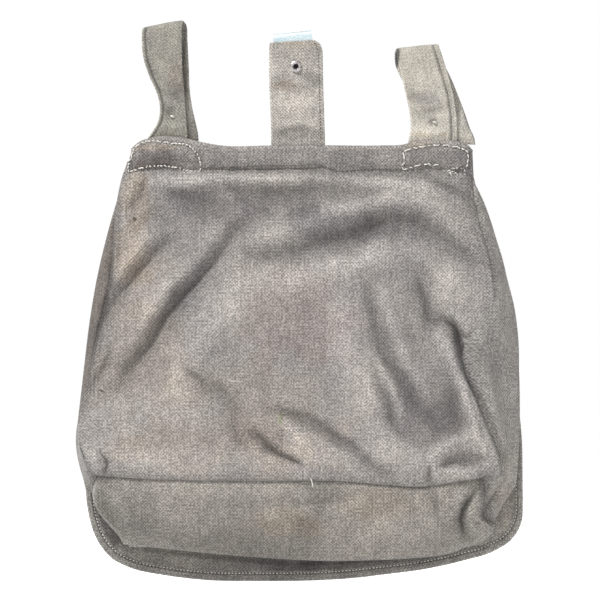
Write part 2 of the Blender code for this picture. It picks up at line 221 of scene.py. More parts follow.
left_crease = through(
    (18, -122.4), (30, -127.8), (45, -131), (60, -135.7), (94, -144.3), (128, -150.4), (164, -154.8),
    (197, -158.6), (215, -160.6), (232, -158.4), (240, -156), (247, -152.6), (255, -147.6), (262, -144),
    (270, -138.5), (290, -124),
)
right_crease = through(
    (18, 122.4), (24, 123.4), (31, 125.5), (42, 130.6), (57, 136.3), (71, 140.6), (85, 145), (100, 148.6),
    (117, 153), (143, 156.5), (165, 157.4), (197, 157.9), (221, 157.2), (235, 156.4), (248, 154.6),
    (262, 149.6), (277, 142), (292, 131.5),
)
FLAP_LEFT = [
    (28, -121), (60, -131), (120, -145), (180, -155), (214, -160), (236, -158.8), (250, -155.6),
    (262, -154.4), (272, -152.6), (283, -149.3), (293, -143.8), (301, -136.6), (307, -125.5), (313.6, -97),
    (317, -66),
]
FLAP_RIGHT = [
    (28, 121), (60, 133), (120, 147), (180, 157), (214, 160.6), (250, 161.4), (262, 161.6), (275, 160.6),
    (286.5, 154.4), (296.5, 139.4), (302.8, 118.4), (308.6, 93), (312.8, 62), (316, 32), (317.3, 6),
]
flap_left = through(*FLAP_LEFT)
flap_right = through(*FLAP_RIGHT)


def front_y(down):
    """Where the sagging front wall is, by its CAD plate's two edges."""
    share = (down - FRONT_TOP_DOWN) / (FRONT_FOOT_DOWN - FRONT_TOP_DOWN)
    return mix(FRONT_LOW[1] + CANVAS / 2, FRONT_HIGH[1] - CANVAS / 2, share)


def flap_y(down):
    """Where the hanging flap is, from its hinge line to its foot."""
    share = (down - (TOP - HINGE[2])) / (TOP - FLAP_LOW[2] - (TOP - HINGE[2]))
    return mix(HINGE[1], FLAP_HIGH[1] - CANVAS, share)


# ---- relief of the back wall ----
# Strokes of raised (+) and sunken (-) cloth: height, half width, and the line they follow.
FOLDS = [
    # under the band: the puffed top, and the hollow below it
    (3.2, 4.5, [(-116, 28), (-90, 30), (-60, 28), (-20, 27), (18, 26)]),
    (2.6, 5, [(22, 29), (60, 30), (85, 32), (116, 40)]),
    (-2.2, 8, [(-97, 32), (-80, 42), (-60, 50)]),
    (-2.2, 9, [(-50, 36), (-20, 40), (10, 38), (40, 34), (70, 38)]),
    (-2.4, 4, [(-110, 22), (-114, 34), (-121, 50)]),
    (1.8, 4, [(-56, 34), (-44, 46), (-38, 58)]),
    # the two long pulls from the upper left
    (-5.2, 6.4, [(-92, 70), (-107, 83), (-119, 96), (-130, 111), (-140, 128), (-146, 140)]),
    (1.7, 6, [(-104, 64), (-122, 86), (-134, 108)]),
    (1.4, 6, [(-56, 60), (-82, 92), (-110, 128), (-132, 156)]),
    (-5.6, 5.8, [(-42, 62), (-68, 92), (-83, 109), (-97, 128), (-108, 146), (-119, 161), (-131, 177)]),
    (-2.4, 3, [(-136, 152), (-146, 170), (-155, 187)]),
    (-2.4, 3.5, [(-84, 163), (-72, 173), (-60, 183)]),
    (2, 12, [(-24, 92), (-58, 130), (-84, 160), (-104, 178)]),
    (2.4, 18, [(-134, 206), (-112, 190), (-84, 192), (-62, 214)]),
    (-2.4, 5, [(-70, 166), (-56, 178), (-42, 196)]),
    # the arch below the band
    (-2, 2.8, [(90, 24), (104, 33), (118, 38.6), (127, 44)]),
    (-4.2, 8, [(-34, 84), (2, 80), (34, 71), (58, 60), (86, 60), (101, 68), (112, 76), (124, 85)]),
    (2.6, 7, [(-28, 66), (10, 58), (44, 46), (70, 40), (98, 48), (116, 62)]),
    (3, 9, [(-18, 106), (20, 94), (50, 84), (76, 76), (96, 84)]),
    # the right side: pulls into the gusset's seam
    (2.2, 10, [(98, 108), (110, 100), (118, 104)]),
    (-3.2, 3.2, [(86, 102), (90, 116), (92, 128), (101, 132)]),
    (-6.4, 3.6, [(102, 127), (109, 132), (113.5, 141), (115.6, 150), (116.4, 164)]),
    (3.6, 3.4, [(99, 138), (106, 149), (111.6, 165), (118.8, 182), (126, 200), (133, 218), (138.6, 232)]),
    (-3.4, 4.6, [(46, 104), (54, 128), (62, 150), (73, 172), (84, 188), (98, 205), (106, 214)]),
    (2.6, 5, [(60, 108), (72, 140), (86, 170), (96, 188)]),
    (-3.4, 3.4, [(53, 162), (61, 186), (66, 204), (74, 217)]),
    (2, 3, [(56, 152), (66, 180), (76, 202)]),
    (-2.8, 5.4, [(106, 173), (113, 191), (120, 211)]),
    (2.2, 12, [(24, 110), (40, 160), (58, 205)]),
    # low down: short pulls towards the bottom seam
    (-4.8, 3.2, [(-34, 207), (-22, 218), (-11, 225.5), (2, 234)]),
    (3, 4, [(-14, 202), (3, 217), (15, 234)]),
    (-3.6, 4.4, [(-17, 194), (4, 200), (22, 211), (38, 222), (52, 233), (66, 243)]),
    (-2, 3, [(-47, 202), (-43, 214), (-35, 223)]),
    (2, 6, [(60, 212), (74, 222), (90, 232)]),
    (3.6, 4.5, [(96, 240), (97, 226), (106, 218), (128, 212)]),
    (-3.6, 5.4, [(101, 233), (112, 228.6), (126, 228), (140, 230)]),
    (2.4, 3, [(106, 239), (118, 236), (136, 237)]),
    (-3.4, 2.6, [(95, 229), (93.6, 237), (94.6, 246)]),
    (-3.6, 1.7, [(-142.6, 223), (-140.2, 228), (-140.4, 233), (-143, 239)]),
    (2.6, 4.5, [(-149, 224), (-146, 230), (-147, 235)]),
    (-2, 1.6, [(-156, 230), (-153, 235), (-149, 238)]),
    (-2.2, 1.4, [(131, 241), (129.5, 236.5)]),
    (1.8, 3, [(134, 233), (141, 234)]),
]


# Strokes of painted highlight (+) and painted shade (-) on the back wall, along its folds, its seams and the
# band's foot, with some dirt, in the same terms.
PAINTED_LIGHT_STROKES = [
    (-3, 9, [(-98, 32), (-80, 42), (-58, 50)]),
    (-2.6, 7, [(-43, 33), (-20, 37), (-4, 36)]),
    (-2.6, 5, [(-40, 80), (-10, 79)]),
    (-4.6, 5, [(84, 57), (101, 67), (112, 76), (126, 86)]),
    (-4, 6, [(72, 22), (86, 22), (100, 25)]),
    (-5, 2.8, [(90, 24), (104, 33), (118, 38.6), (127, 44)]),
    (-3, 3, [(122, 40), (127, 48), (130, 60)]),
    (-7, 3.6, [(103, 128), (109, 133), (114, 142), (116, 152), (117, 164)]),
    (-5, 2.6, [(105, 131), (111, 137), (115, 148), (116.6, 162), (119.6, 174)]),
    (1.6, 8, [(104, 100), (112, 112), (120, 124)]),
    (2.4, 2.4, [(100, 139), (109, 150), (115, 166), (122, 182), (129.6, 200), (136.6, 218), (142, 232)]),
    (-2, 8, [(100, 176), (108, 196), (112, 210)]),
    (-2.2, 5.5, [(50, 112), (60, 150), (80, 184), (102, 208)]),
    (-2.6, 3.2, [(-34, 207), (-22, 218), (-11, 225.5), (2, 234)]),
    (-3, 4.4, [(-17, 194), (4, 200), (22, 211), (38, 222), (52, 233), (66, 243)]),
    (-3, 5, [(104, 228), (118, 228), (136, 230)]),
    (-4, 1.8, [(95, 236), (94, 241), (95, 247)]),
    (-3, 2.6, [(-128.5, 64), (-132.5, 85), (-136, 104), (-141, 121), (-147, 142)]),
    (-9, 1.4, [(-132, 50), (-133.4, 64), (-134.2, 81), (-136.6, 102), (-141.6, 122), (-147.6, 151),
                 (-153, 178)]),
    (-4, 1.2, [(126, 42), (129.4, 57), (134.8, 78), (139, 100), (140, 112)]),
    (-6, 1.6, [(-72, 22), (-40, 20.8), (0, 20), (20, 21.6), (50, 22.6), (76, 22.4), (100, 21)]),
    (-2, 3, [(-136, 152), (-146, 170), (-155, 187)]),
    (-1.6, 3.5, [(-84, 163), (-72, 173), (-60, 183)]),
    (-2.4, 7, [(-58, 92), (-84, 114), (-104, 148), (-122, 168)]),
]


WALL_PUFF = 2.6        # how far the back wall stands out where nothing pulls it
FOLD_DEPTH = 1.25      # the drawn folds are all deepened by this
SEAM_PULL = 3.2        # how far the side seams draw the wall in
PRESSED_LINE_IN = 4.2  # the seam allowance shows as a pressed line this far inside the side seams
LOW_ROLL_UP = 15.0     # the wall rolls out this far above the bottom seam
WALL_START = 19.0      # where the wall comes out from under the band


def back_shade_and_grime(x, down):
    """The back wall's relief for its look: hollows get dirt and painted shade, folds are rubbed pale with
    painted highlight, and the strokes add more painted shade and highlight.
    """
    return back_height(x, down) - WALL_PUFF + strokes(x, down, PAINTED_LIGHT_STROKES)


def back_height(x, down):
    """How far the back wall stands out towards the wearer from its seams' plane."""
    bent_x = x + 2.2 * noise(x, down, 22, 3) + 0.9 * noise(x, down, 8, 4)
    bent_down = down + 2.2 * noise(x, down, 20, 5) + 0.9 * noise(x, down, 9, 6)
    ripples = 0.9 * noise(x, down, 42, 7) + 0.45 * noise(x, down, 17, 8) + 0.16 * noise(x, down, 7, 9)
    above_seam = bottom_seam(x) - down
    height = WALL_PUFF + ripples + FOLD_DEPTH * strokes(bent_x, bent_down, FOLDS)
    height = height + 2.2 * bump(above_seam - LOW_ROLL_UP, 11)
    left_side, right_side = x - left_seam(down), right_seam(down) - x
    edges = ((left_side, left_tuck(down), 9), (right_side, right_tuck(down), right_roll(down)))
    for side, tuck, roll in edges:
        height = height * mix(1, smooth(-0.45 * roll, roll, side), tuck)
        height = height - SEAM_PULL * tuck * np.exp(-3 * np.maximum(side, 0) / roll)
    for side, fade in ((left_side, smooth(215, 195, down)), (right_side, smooth(106, 94, down))):
        height = height - 0.5 * bump(side - PRESSED_LINE_IN, 1.1) * smooth(34, 50, down) * fade
    seam_depth = 3.8 * (1 - 0.55 * smooth(4, 14, x) * smooth(96, 88, x))
    height = height - seam_depth * np.exp(-np.maximum(above_seam, 0) / 1.6)
    under_band = np.maximum(down - WALL_START, 0)
    return height * smooth(-3, 8, under_band) - 1.2 * np.exp(-under_band / 2.5)


def back_y(x, down):
    return BACK_Y - 1.0 - back_height(x, down)


# ---- relief of the top band ----
band_top = through(
    (-121, 5), (-117, 1.2), (-110, -2), (-81, -2), (-72, 0.2), (-58, 2.8), (-21, 3), (17, 2.8),
    (60, 2.9), (74, 2.3), (84, -0.4), (100, -0.8), (114, 0), (120, 2), (124, 6),
)
band_foot = through(
    (-125.5, 22.5), (-119, 20.5), (-100, 18.2), (-90, 18.6), (-79, 21), (-68, 20.6), (-40, 19.4), (0, 18.7),
    (17, 18.8), (20, 20.4), (50, 21.5), (76, 21.3), (96, 19.4), (108, 20.2), (118, 23.5), (125, 25),
)
BOX_LEFT = [
    (-119.2, 3.6), (-110.5, -0.3), (-98, 0), (-90, 1.2), (-81.5, 2), (-74.6, 8), (-71.7, 15), (-72.4, 21),
    (-80, 20.6), (-90, 18.2), (-100, 17.2), (-113, 18.4), (-123, 21), (-119.2, 3.6),
]
BOX_RIGHT = [
    (74.6, 6.5), (82, 4.6), (97, 2.4), (104, 2.4), (114, 4), (120.6, 7.2), (120.6, 14.8), (120, 19),
]
BOX_RIGHT_FOOT = [(74.4, 7), (75, 13), (73.6, 18.6), (88, 16.2), (96, 16.2), (101, 17.0)]


def band_height(x, down):
    """How far the band stands out towards the wearer from the CAD band's rear face."""
    share = (down - band_top(x)) / (band_foot(x) - band_top(x))
    padded = 1.5 * np.sin(math.pi * np.clip(share, 0.02, 0.98)) ** 0.5
    gather = 0.6 * noise(x, down * 0.25, 5, 11) + 0.8 * noise(x, down * 0.3, 13, 12)
    gather = gather * smooth(0.0, 0.5, share)
    boxed = smooth(-124, -117, x) * smooth(-70, -76, x) + smooth(72, 78, x) * smooth(124, 118, x)
    return padded + gather + 0.9 * boxed * np.sin(math.pi * np.clip(share, 0, 1)) ** 2


def band_y(x, down):
    return BAND_LOW[1] + 0.9 - band_height(x, down)


# ---- meshes ----
def new_object(name, points, faces, cloth=None, relief=None):
    """Points are in mm. cloth is (across, along) in mm, for the weave; relief is mm of height plus drawn tone
    strokes, which the material turns into dirt, painted shade and painted highlight.
    """
    mesh = bpy.data.meshes.new(name)
    mesh.from_pydata((np.asarray(points) * MM).tolist(), [], faces)
    rest = mesh.attributes.new("rest", "FLOAT_VECTOR", "POINT")
    rest.data.foreach_set("vector", (np.asarray(points) * MM).astype(np.float32).ravel())
    if cloth is not None:
        flat = np.zeros((len(points), 3), np.float32)
        flat[:, :2] = np.asarray(cloth) * MM
        weave = mesh.attributes.new("cloth", "FLOAT_VECTOR", "POINT")
        weave.data.foreach_set("vector", flat.ravel())
    worn = mesh.attributes.new("relief", "FLOAT", "POINT")
    if relief is not None:
        worn.data.foreach_set("value", np.asarray(relief, np.float32).ravel())
    mesh.shade_smooth()
    obj = bpy.data.objects.new(name, mesh)
    bpy.context.scene.collection.objects.link(obj)
    return obj


def grid_faces(rows, columns, closed=False):
    last = columns if closed else columns - 1
    faces = []
    for r in range(rows - 1):
        for c in range(last):
            d = (c + 1) % columns
            faces.append((r * columns + c, r * columns + d, (r + 1) * columns + d, (r + 1) * columns + c))
    return faces


def sheet(name, points, cloth, relief=None, thickness=CANVAS):
    """A cloth sheet from a grid of points, rows by columns, with an even thickness."""
    rows, columns = points.shape[:2]
    flat = points.reshape(-1, 3)
    obj = new_object(name, flat, grid_faces(rows, columns), cloth.reshape(-1, 2), relief)
    shell = obj.modifiers.new("thickness", "SOLIDIFY")
    shell.thickness = thickness * MM
    shell.offset = 0
    return obj


def apply_modifiers(obj):
    """Makes the piece's mesh what its modifiers show, and takes them off."""
    bpy.context.view_layer.update()
    graph = bpy.context.evaluated_depsgraph_get()
    mesh = bpy.data.meshes.new_from_object(obj.evaluated_get(graph))
    obj.modifiers.clear()
    obj.data = mesh


def unit(vectors):
    return vectors / np.maximum(np.linalg.norm(vectors, axis=-1, keepdims=True), 1e-9)


class Strip:
    """A flat strip between a left and a right edge line, with rounded edges, closed at both ends."""

    def __init__(
        self, stations, thickness, steps, columns=14, wave=0.0, seed=1, dents=(), groove=0.0, tone=12.0
    ):
        left = along([station[:3] for station in stations])
        right = along([station[3:] for station in stations])
        share = np.linspace(0, 1, steps)
        self.left, self.right = left(share), right(share)
        self.middle = (self.left + self.right) / 2
        across = self.right - self.left
        tangent = np.gradient(self.middle, axis=0)
        self.normal = unit(np.cross(across, tangent))
        steps_mm = np.linalg.norm(np.diff(self.middle, axis=0), axis=1)
        self.length = np.concatenate([[0], np.cumsum(steps_mm)])
        self.width = np.linalg.norm(across, axis=1)
        self.thickness, self.columns = thickness, columns
        self.wave, self.seed, self.dents, self.groove, self.groove_tone = wave, seed, dents, groove, tone

    def push(self, share_across, row, middle):
        """How far the strip's own surface is out of its smooth shape: waves and dents."""
        out = self.wave * noise(share_across * 30, self.length[row], 9, self.seed)
        return out + strokes(middle[..., 0], middle[..., 2], self.dents)

    def in_groove(self, share_across, row):
        """1 where a stitched line presses the cloth in: groove mm from the left edge, or the right if < 0."""
        if not self.groove:
            return 0.0
        from_edge = share_across if self.groove > 0 else share_across - 1
        return bump(from_edge * self.width[row] - self.groove, 0.9)

    def surface(self, share_across, row, side):
        """Points on the strip's face, and its outward normals there."""
        swell = self.thickness / 2 * (1 - np.abs(2 * share_across - 1) ** 6) ** 0.5
        swell = swell - 0.45 * self.in_groove(share_across, row)
        middle = mix(self.left[row], self.right[row], share_across[..., None])
        out = self.push(share_across, row, middle) + side * swell
        return middle + self.normal[row] * out[..., None]

    def build(self, name):
        rows = len(self.length)
        s = 0.5 - 0.5 * np.cos(np.linspace(0, math.pi, self.columns))
        s = mix(s, np.linspace(0, 1, self.columns), 0.5)
        ring_share = np.concatenate([s, s[::-1][1:-1]])
        ring_side = np.concatenate([np.ones(self.columns), -np.ones(self.columns - 2)])
        row = np.arange(rows)[:, None].repeat(len(ring_share), 1)
        share = ring_share[None, :].repeat(rows, 0)
        points = self.surface(share, row, ring_side[None, :].repeat(rows, 0))
        cloth = np.stack([share * self.width[row], self.length[row]], -1)
        middle = mix(self.left[row], self.right[row], share[..., None])
        edge = np.minimum(share, 1 - share) * self.width[row]
        # Painted highlight along both edges of the strip, and painted shade and highlight from its dents; the
        # stitched groove is darker.
        relief = 3.5 * bump(edge, 0.9) + 2.2 * self.push(share, row, middle)
        relief = relief - self.groove_tone * self.in_groove(share, row)
        ring = len(ring_share)
        faces = grid_faces(rows, ring, closed=True)
        for base in (0, (rows - 1) * ring):
            for c in range(self.columns - 1):
                back = [(ring - k) % ring for k in (c, c + 1)]
                quad = [base + c, base + back[0], base + back[1], base + c + 1]
                quad = list(dict.fromkeys(quad))
                faces.append(quad if base == 0 else quad[::-1])
        return new_object(name, points.reshape(-1, 3), faces, cloth.reshape(-1, 2), relief)

    def line(self, inset, side=1, first=0.0, last=1.0):
        """A line that runs along the strip: inset mm from its left edge, or from its right if below 0."""
        rows = np.arange(int(first * (len(self.length) - 1)), int(last * (len(self.length) - 1)) + 1)
        share = inset / self.width[rows] if inset >= 0 else 1 + inset / self.width[rows]
        return self.surface(share, rows, np.full(len(rows), float(side))), self.normal[rows] * side


ONE_STITCH = 99.0  # a pitch so long that only one stitch is made


def stitches(name, path, normals, pitch=2.6, length=1.8, radius=0.28, seed=1, jitter=0.1, sink=0.06):
    """A row of separate stitches that lie along a path, as one mesh."""
    rng = np.random.default_rng(seed)
    path, normals = np.asarray(path, float), unit(np.asarray(normals, float))
    steps = np.linalg.norm(np.diff(path, axis=0), axis=1)
    reach = np.concatenate([[0], np.cumsum(steps)])
    sides, rings = 6, 5
    around = np.linspace(0, 2 * math.pi, sides, endpoint=False)
    points, faces = [], []
    for start in np.arange(0.3, reach[-1] - length, pitch):
        start = start + rng.normal(0, jitter * 0.4)
        long = length * (1 + rng.normal(0, jitter))
        at = start + long * np.linspace(0, 1, rings)
        middle = np.stack([np.interp(at, reach, path[:, k]) for k in range(3)], 1)
        up = unit(np.stack([np.interp(at, reach, normals[:, k]) for k in range(3)], 1))
        way = unit(np.gradient(middle, axis=0))
        flat = unit(np.cross(up, way))
        lean = rng.normal(0, jitter * 1.2)
        middle = middle + flat * (lean * np.linspace(-0.5, 0.5, rings) * radius * 4)[:, None]
        arch = np.sin(np.linspace(0, math.pi, rings))
        middle = middle + up * ((arch * 0.9 - sink * 6) * radius)[:, None]
        size = radius * np.array([0.45, 0.95, 1.0, 0.95, 0.45])
        base = len(points)
        for k in range(rings):
            circle = np.cos(around)[:, None] * flat[k] + np.sin(around)[:, None] * up[k]
            points.extend(middle[k] + circle * size[k])
        for k in range(rings - 1):
            for s in range(sides):
                t = (s + 1) % sides
                low, high = base + k * sides, base + (k + 1) * sides
                faces.append((low + s, low + t, high + t, high + s))
        faces.append(tuple(base + s for s in reversed(range(sides))))
        faces.append(tuple(base + (rings - 1) * sides + s for s in range(sides)))
    return new_object(name, np.array(points), faces)


# ---- materials ----
def srgb(red, green, blue):
    """A linear colour from display values of 0 to 255."""
    shares = [c / 255 for c in (red, green, blue)]
    return tuple(s / 12.92 if s <= 0.04045 else ((s + 0.055) / 1.055) ** 2.4 for s in shares)


class Graph:
    """The node graph of a material or a world, with one short call for each kind of node."""

    def __init__(self, owner, shader_name="Principled BSDF"):
        self.owner = owner
        owner.use_nodes = True
        self.tree = owner.node_tree
        self.shader = self.tree.nodes[shader_name]

    def put(self, value, socket):
        if isinstance(value, bpy.types.NodeSocket):
            self.tree.links.new(value, socket)
        elif isinstance(value, tuple) and len(value) == 3 and socket.type == "RGBA":
            socket.default_value = (*value, 1)
        else:
            socket.default_value = value

    def add(self, kind, inputs, **settings):
        node = self.tree.nodes.new(kind)
        for key, value in settings.items():
            setattr(node, key, value)
        for key, value in inputs.items():
            self.put(value, node.inputs[key])
        return node

    def attribute(self, name, output="Vector"):
        return self.add("ShaderNodeAttribute", {}, attribute_name=name).outputs[output]

    def math(self, operation, a, b=0.0):
        return self.add("ShaderNodeMath", {0: a, 1: b}, operation=operation).outputs[0]

    def times(self, a, b):
        return self.math("MULTIPLY", a, b)

    def plus(self, a, b):
        return self.math("ADD", a, b)

    def scaled(self, vector, scale):
        node = self.add("ShaderNodeVectorMath", {0: vector, 1: scale}, operation="MULTIPLY")
        return node.outputs[0]

    def noise(self, vector, scale, detail=2.0, roughness=0.55):
        inputs = {"Vector": vector, "Scale": scale, "Detail": detail, "Roughness": roughness}
        return self.add("ShaderNodeTexNoise", inputs).outputs[0]

    def ramp(self, value, low, high, out_low=0.0, out_high=1.0):
        inputs = {"Value": value, "From Min": low, "From Max": high, "To Min": out_low, "To Max": out_high}
        return self.add("ShaderNodeMapRange", inputs, interpolation_type="SMOOTHSTEP").outputs[0]

    def mix(self, share, a, b, blend="MIX"):
        node = self.add("ShaderNodeMix", {0: share}, data_type="RGBA", blend_type=blend)
        self.put(a, node.inputs[6])
        self.put(b, node.inputs[7])
        return node.outputs[2]

    def finish(self, colour, roughness, height=None, depth=0.0004, sheen=0.0, metallic=0.0):
        self.put(colour, self.shader.inputs["Base Color"])
        self.put(roughness, self.shader.inputs["Roughness"])
        self.shader.inputs["Metallic"].default_value = metallic
        self.shader.inputs["Sheen Weight"].default_value = sheen
        self.shader.inputs["Sheen Roughness"].default_value = 0.6
        self.shader.inputs["Specular IOR Level"].default_value = 0.2 if metallic == 0 else 0.5
        if height is not None:
            raised = self.add("ShaderNodeBump", {"Height": height, "Distance": depth, "Strength": 1.0})
            self.put(raised.outputs[0], self.shader.inputs["Normal"])
        return self.owner


GRIME_AND_SHADE_RELIEF = (-4.0, 5.0)         # from dirty hollows with painted shade to rubbed folds with painted highlight
SEAM_DIRT_AND_SHADE_RELIEF = (-13.0, -4.5)  # dirt packed into seams, and painted shade deep in seams, creases and gaps


def add_patches(graph, colour, place, patches):
    """Stains, painted shade and painted light: (x, down, half width, half height, turn in degrees, tint,
    strength).
    """
    wander = graph.noise(place, 28.0, 3.0)
    for x, down, wide, tall, turn, tint, strength in patches:
        inputs = {
            "Vector": place,
            "Location": (x * MM, 0, (TOP - down) * MM),
            "Rotation": (0, math.radians(turn), 0),
            "Scale": (wide * MM, 1, tall * MM),
        }
        mapping = graph.add("ShaderNodeMapping", inputs, vector_type="TEXTURE")
        flat = graph.scaled(mapping.outputs[0], (1, 0, 1))
        distance = graph.add("ShaderNodeVectorMath", {0: flat}, operation="LENGTH").outputs["Value"]
        ragged = graph.plus(distance, graph.ramp(wander, 0.3, 0.7, -0.38, 0.38))
        inside = graph.ramp(ragged, 1.25, 0.35, 0.0, strength)
        colour = graph.mix(inside, colour, tint, "MULTIPLY")
    return colour


def weave_of(graph, split, thread, twill):
    """The height of the crossing threads, from -1 to 1: a plain weave, or twill's slanting ribs."""
    step = 2 * math.pi / (thread * MM)
    u = graph.times(split.outputs[0], step)
    v = graph.times(split.outputs[1], step)
    if twill:
        rise = graph.math("SINE", graph.times(graph.math("SUBTRACT", u, v), 0.7))
        fall = graph.math("SINE", graph.times(graph.plus(u, v), 0.7))
        return graph.plus(graph.times(fall, 0.7), graph.times(rise, 0.3))
    return graph.times(graph.math("SINE", u), graph.math("SINE", v))


def canvas(
    name, base, light, patches=(), grime_and_shade=0.2, twill=False, thread=2.3, grain=0.26, bite=0.26, cloudy=0.1
):
    """Woven cloth. The weave follows the piece's own cloth attribute, the stains and painted shade follow its
    rest place, and its relief attribute adds dirt, painted shade and painted highlight.
    """
    graph = Graph(bpy.data.materials.new(name))
    place = graph.attribute("rest")
    cloth = graph.attribute("cloth")
    weave = weave_of(graph, graph.add("ShaderNodeSeparateXYZ", {0: cloth}), thread, twill)
    warp = graph.noise(graph.scaled(cloth, (700, 130, 1)), 1.0, 0.0)
    weft = graph.noise(graph.scaled(cloth, (150, 740, 1)), 1.0, 0.0)
    speck = graph.noise(cloth, 740.0, 0.0)
    mottle = graph.noise(place, 95.0, 4.0, 0.6)
    cloud = graph.noise(place, 17.0, 3.0, 0.5)
    streak = graph.noise(graph.scaled(cloth, (420, 12, 1)), 1.0, 1.0)
    threads = graph.plus(warp, weft)
    relief = graph.attribute("relief", "Fac")

    colour = graph.mix(graph.ramp(cloud, 0.36, 0.64), base, light)
    colour = add_patches(graph, colour, place, patches)
    tone = graph.ramp(mottle, 0.3, 0.7, 1 - cloudy, 1 + cloudy)
    shades = [
        graph.ramp(speck, 0.34, 0.66, 1 - grain, 1 + grain),
        graph.ramp(threads, 0.72, 1.28, 1 - 0.45 * grain, 1 + 0.45 * grain),
        graph.ramp(weave, -0.9, 0.9, 1 - bite, 1 + bite),
        graph.ramp(streak, 0.3, 0.7, 0.94, 1.06),
        # the relief attribute: dirt and painted shade in hollows and seams, rubbed pale and painted highlight
        # on folds
        graph.ramp(relief, *GRIME_AND_SHADE_RELIEF, 1 - grime_and_shade * 1.6, 1 + grime_and_shade),
        graph.ramp(relief, *SEAM_DIRT_AND_SHADE_RELIEF, 0.42, 1.0),
    ]
    for shade in shades:
        tone = graph.times(tone, shade)
    grey = graph.add("ShaderNodeCombineXYZ", {0: tone, 1: tone, 2: tone}).outputs[0]
    colour = graph.mix(1.0, colour, grey, "MULTIPLY")

    height = graph.plus(graph.times(weave, 0.26), graph.times(speck, 0.9))
    height = graph.plus(height, graph.times(threads, 0.5))
    roughness = graph.ramp(mottle, 0.3, 0.7, 0.86, 0.98)
    return graph.finish(colour, roughness, height, 0.00032, sheen=0.25)


def thread_look(name, colour, dark):
    graph = Graph(bpy.data.materials.new(name))
    place = graph.attribute("rest")
    twist = graph.noise(graph.scaled(place, (900, 900, 1500)), 1.0, 2.0)
    return graph.finish(graph.mix(graph.ramp(twist, 0.35, 0.65), dark, colour), 0.8, twist, 0.0002, sheen=0.2)


def metal(name, colour, dull, roughness, wear_scale, metallic=1.0):
    graph = Graph(bpy.data.materials.new(name))
    place = graph.add("ShaderNodeTexCoord", {}).outputs["Object"]
    wear = graph.noise(place, wear_scale, 4.0, 0.65)
    scuff = graph.noise(graph.scaled(place, (1, 1, 0.12)), 1800.0, 2.0)
    look = graph.mix(graph.ramp(wear, 0.45, 0.7), colour, dull)
    rough = graph.ramp(wear, 0.3, 0.7, roughness, roughness + 0.25)
    return graph.finish(look, rough, scuff, 0.00004, metallic=metallic)


# Tints that stains, painted shade and painted light multiply the cloth's own colour by; SUNLIT is painted
# light.
TAN = (1.03, 0.95, 0.85)
DARK = (0.60, 0.60, 0.62)
DUSK = (0.74, 0.735, 0.75)
PINK = (0.95, 0.88, 0.88)
PALE = (1.22, 1.20, 1.18)
GREEN = (0.80, 0.92, 0.72)
BROWN = (0.66, 0.52, 0.42)
BLACK = (0.16, 0.16, 0.17)
SUNLIT = (1.7, 1.7, 1.72)
SOOT = (0.3, 0.3, 0.3)
MOULD = (0.3, 0.32, 0.28)

# Stains of each cloth, with patches of painted shade and painted light, in the terms that add_patches takes.
# On the back wall, the DUSK patches at (84, 200) and (-86, 112) are painted shade on a slope and along the
# long pull; the large one at (-55, 50) is stain and painted shade.
BODY_STAINS_AND_SHADE = [
    (-55, 50, 60, 22, 0, DUSK, 0.95), (-15, 42, 26, 13, 0, DARK, 0.55), (22, 62, 60, 15, 8, DARK, 0.75),
    (62, 58, 30, 16, -20, DARK, 0.5), (-118, 40, 14, 20, 0, TAN, 0.9), (-122, 90, 20, 30, 0, TAN, 0.8),
    (-120, 150, 34, 60, 0, TAN, 0.45), (-60, 215, 90, 26, 0, TAN, 0.4), (-20, 190, 60, 40, 0, TAN, 0.3),
    (84, 200, 30, 22, 0, DUSK, 0.8), (-5, 130, 45, 34, 20, PINK, 0.8), (72, 152, 18, 34, -20, DUSK, 0.6),
    (90, 120, 9, 24, -10, DARK, 0.6), (110, 196, 16, 30, -14, DUSK, 0.7), (-108, 172, 20, 8, -50, DUSK, 0.8),
    (-86, 112, 28, 9, -52, DUSK, 0.8), (110, 102, 16, 20, -40, PALE, 0.2), (55, 215, 30, 24, 0, PALE, 0.35),
    (0, 218, 40, 16, 0, PALE, 0.25), (-17, 214, 6, 16, 40, DARK, 0.6), (-44, 214, 4, 10, 20, DARK, 0.4),
    (-14, 200, 2.2, 6, 0, GREEN, 0.9), (-100, 205, 50, 24, 0, DUSK, 0.35),
    (-119, 55.5, 1.2, 1.4, 0, MOULD, 0.95), (-135, 133, 1.6, 0.8, 30, SOOT, 0.9),
    (-143, 179, 1.8, 0.8, 30, SOOT, 0.9), (2, 12, 3, 14, 0, TAN, 0.4),
]
BAND_STAINS = [
    (-96, 12, 34, 12, 0, DUSK, 0.95), (-92, 14, 20, 8, 0, BROWN, 0.3), (122, 14, 10, 14, 0, DARK, 0.8),
    (98, 11, 26, 9, 0, DUSK, 0.9), (-98, 11, 20, 7, 0, DARK, 0.6), (-100, 4, 24, 4, 0, TAN, 0.9),
    (-108, 18, 10, 4, 0, BROWN, 0.4), (84, 2, 14, 3, 0, TAN, 0.6), (30, 10, 8, 12, 20, DARK, 0.4),
    (48, 12, 9, 12, 20, DARK, 0.5), (-40, 14, 30, 8, 0, DUSK, 0.4),
]
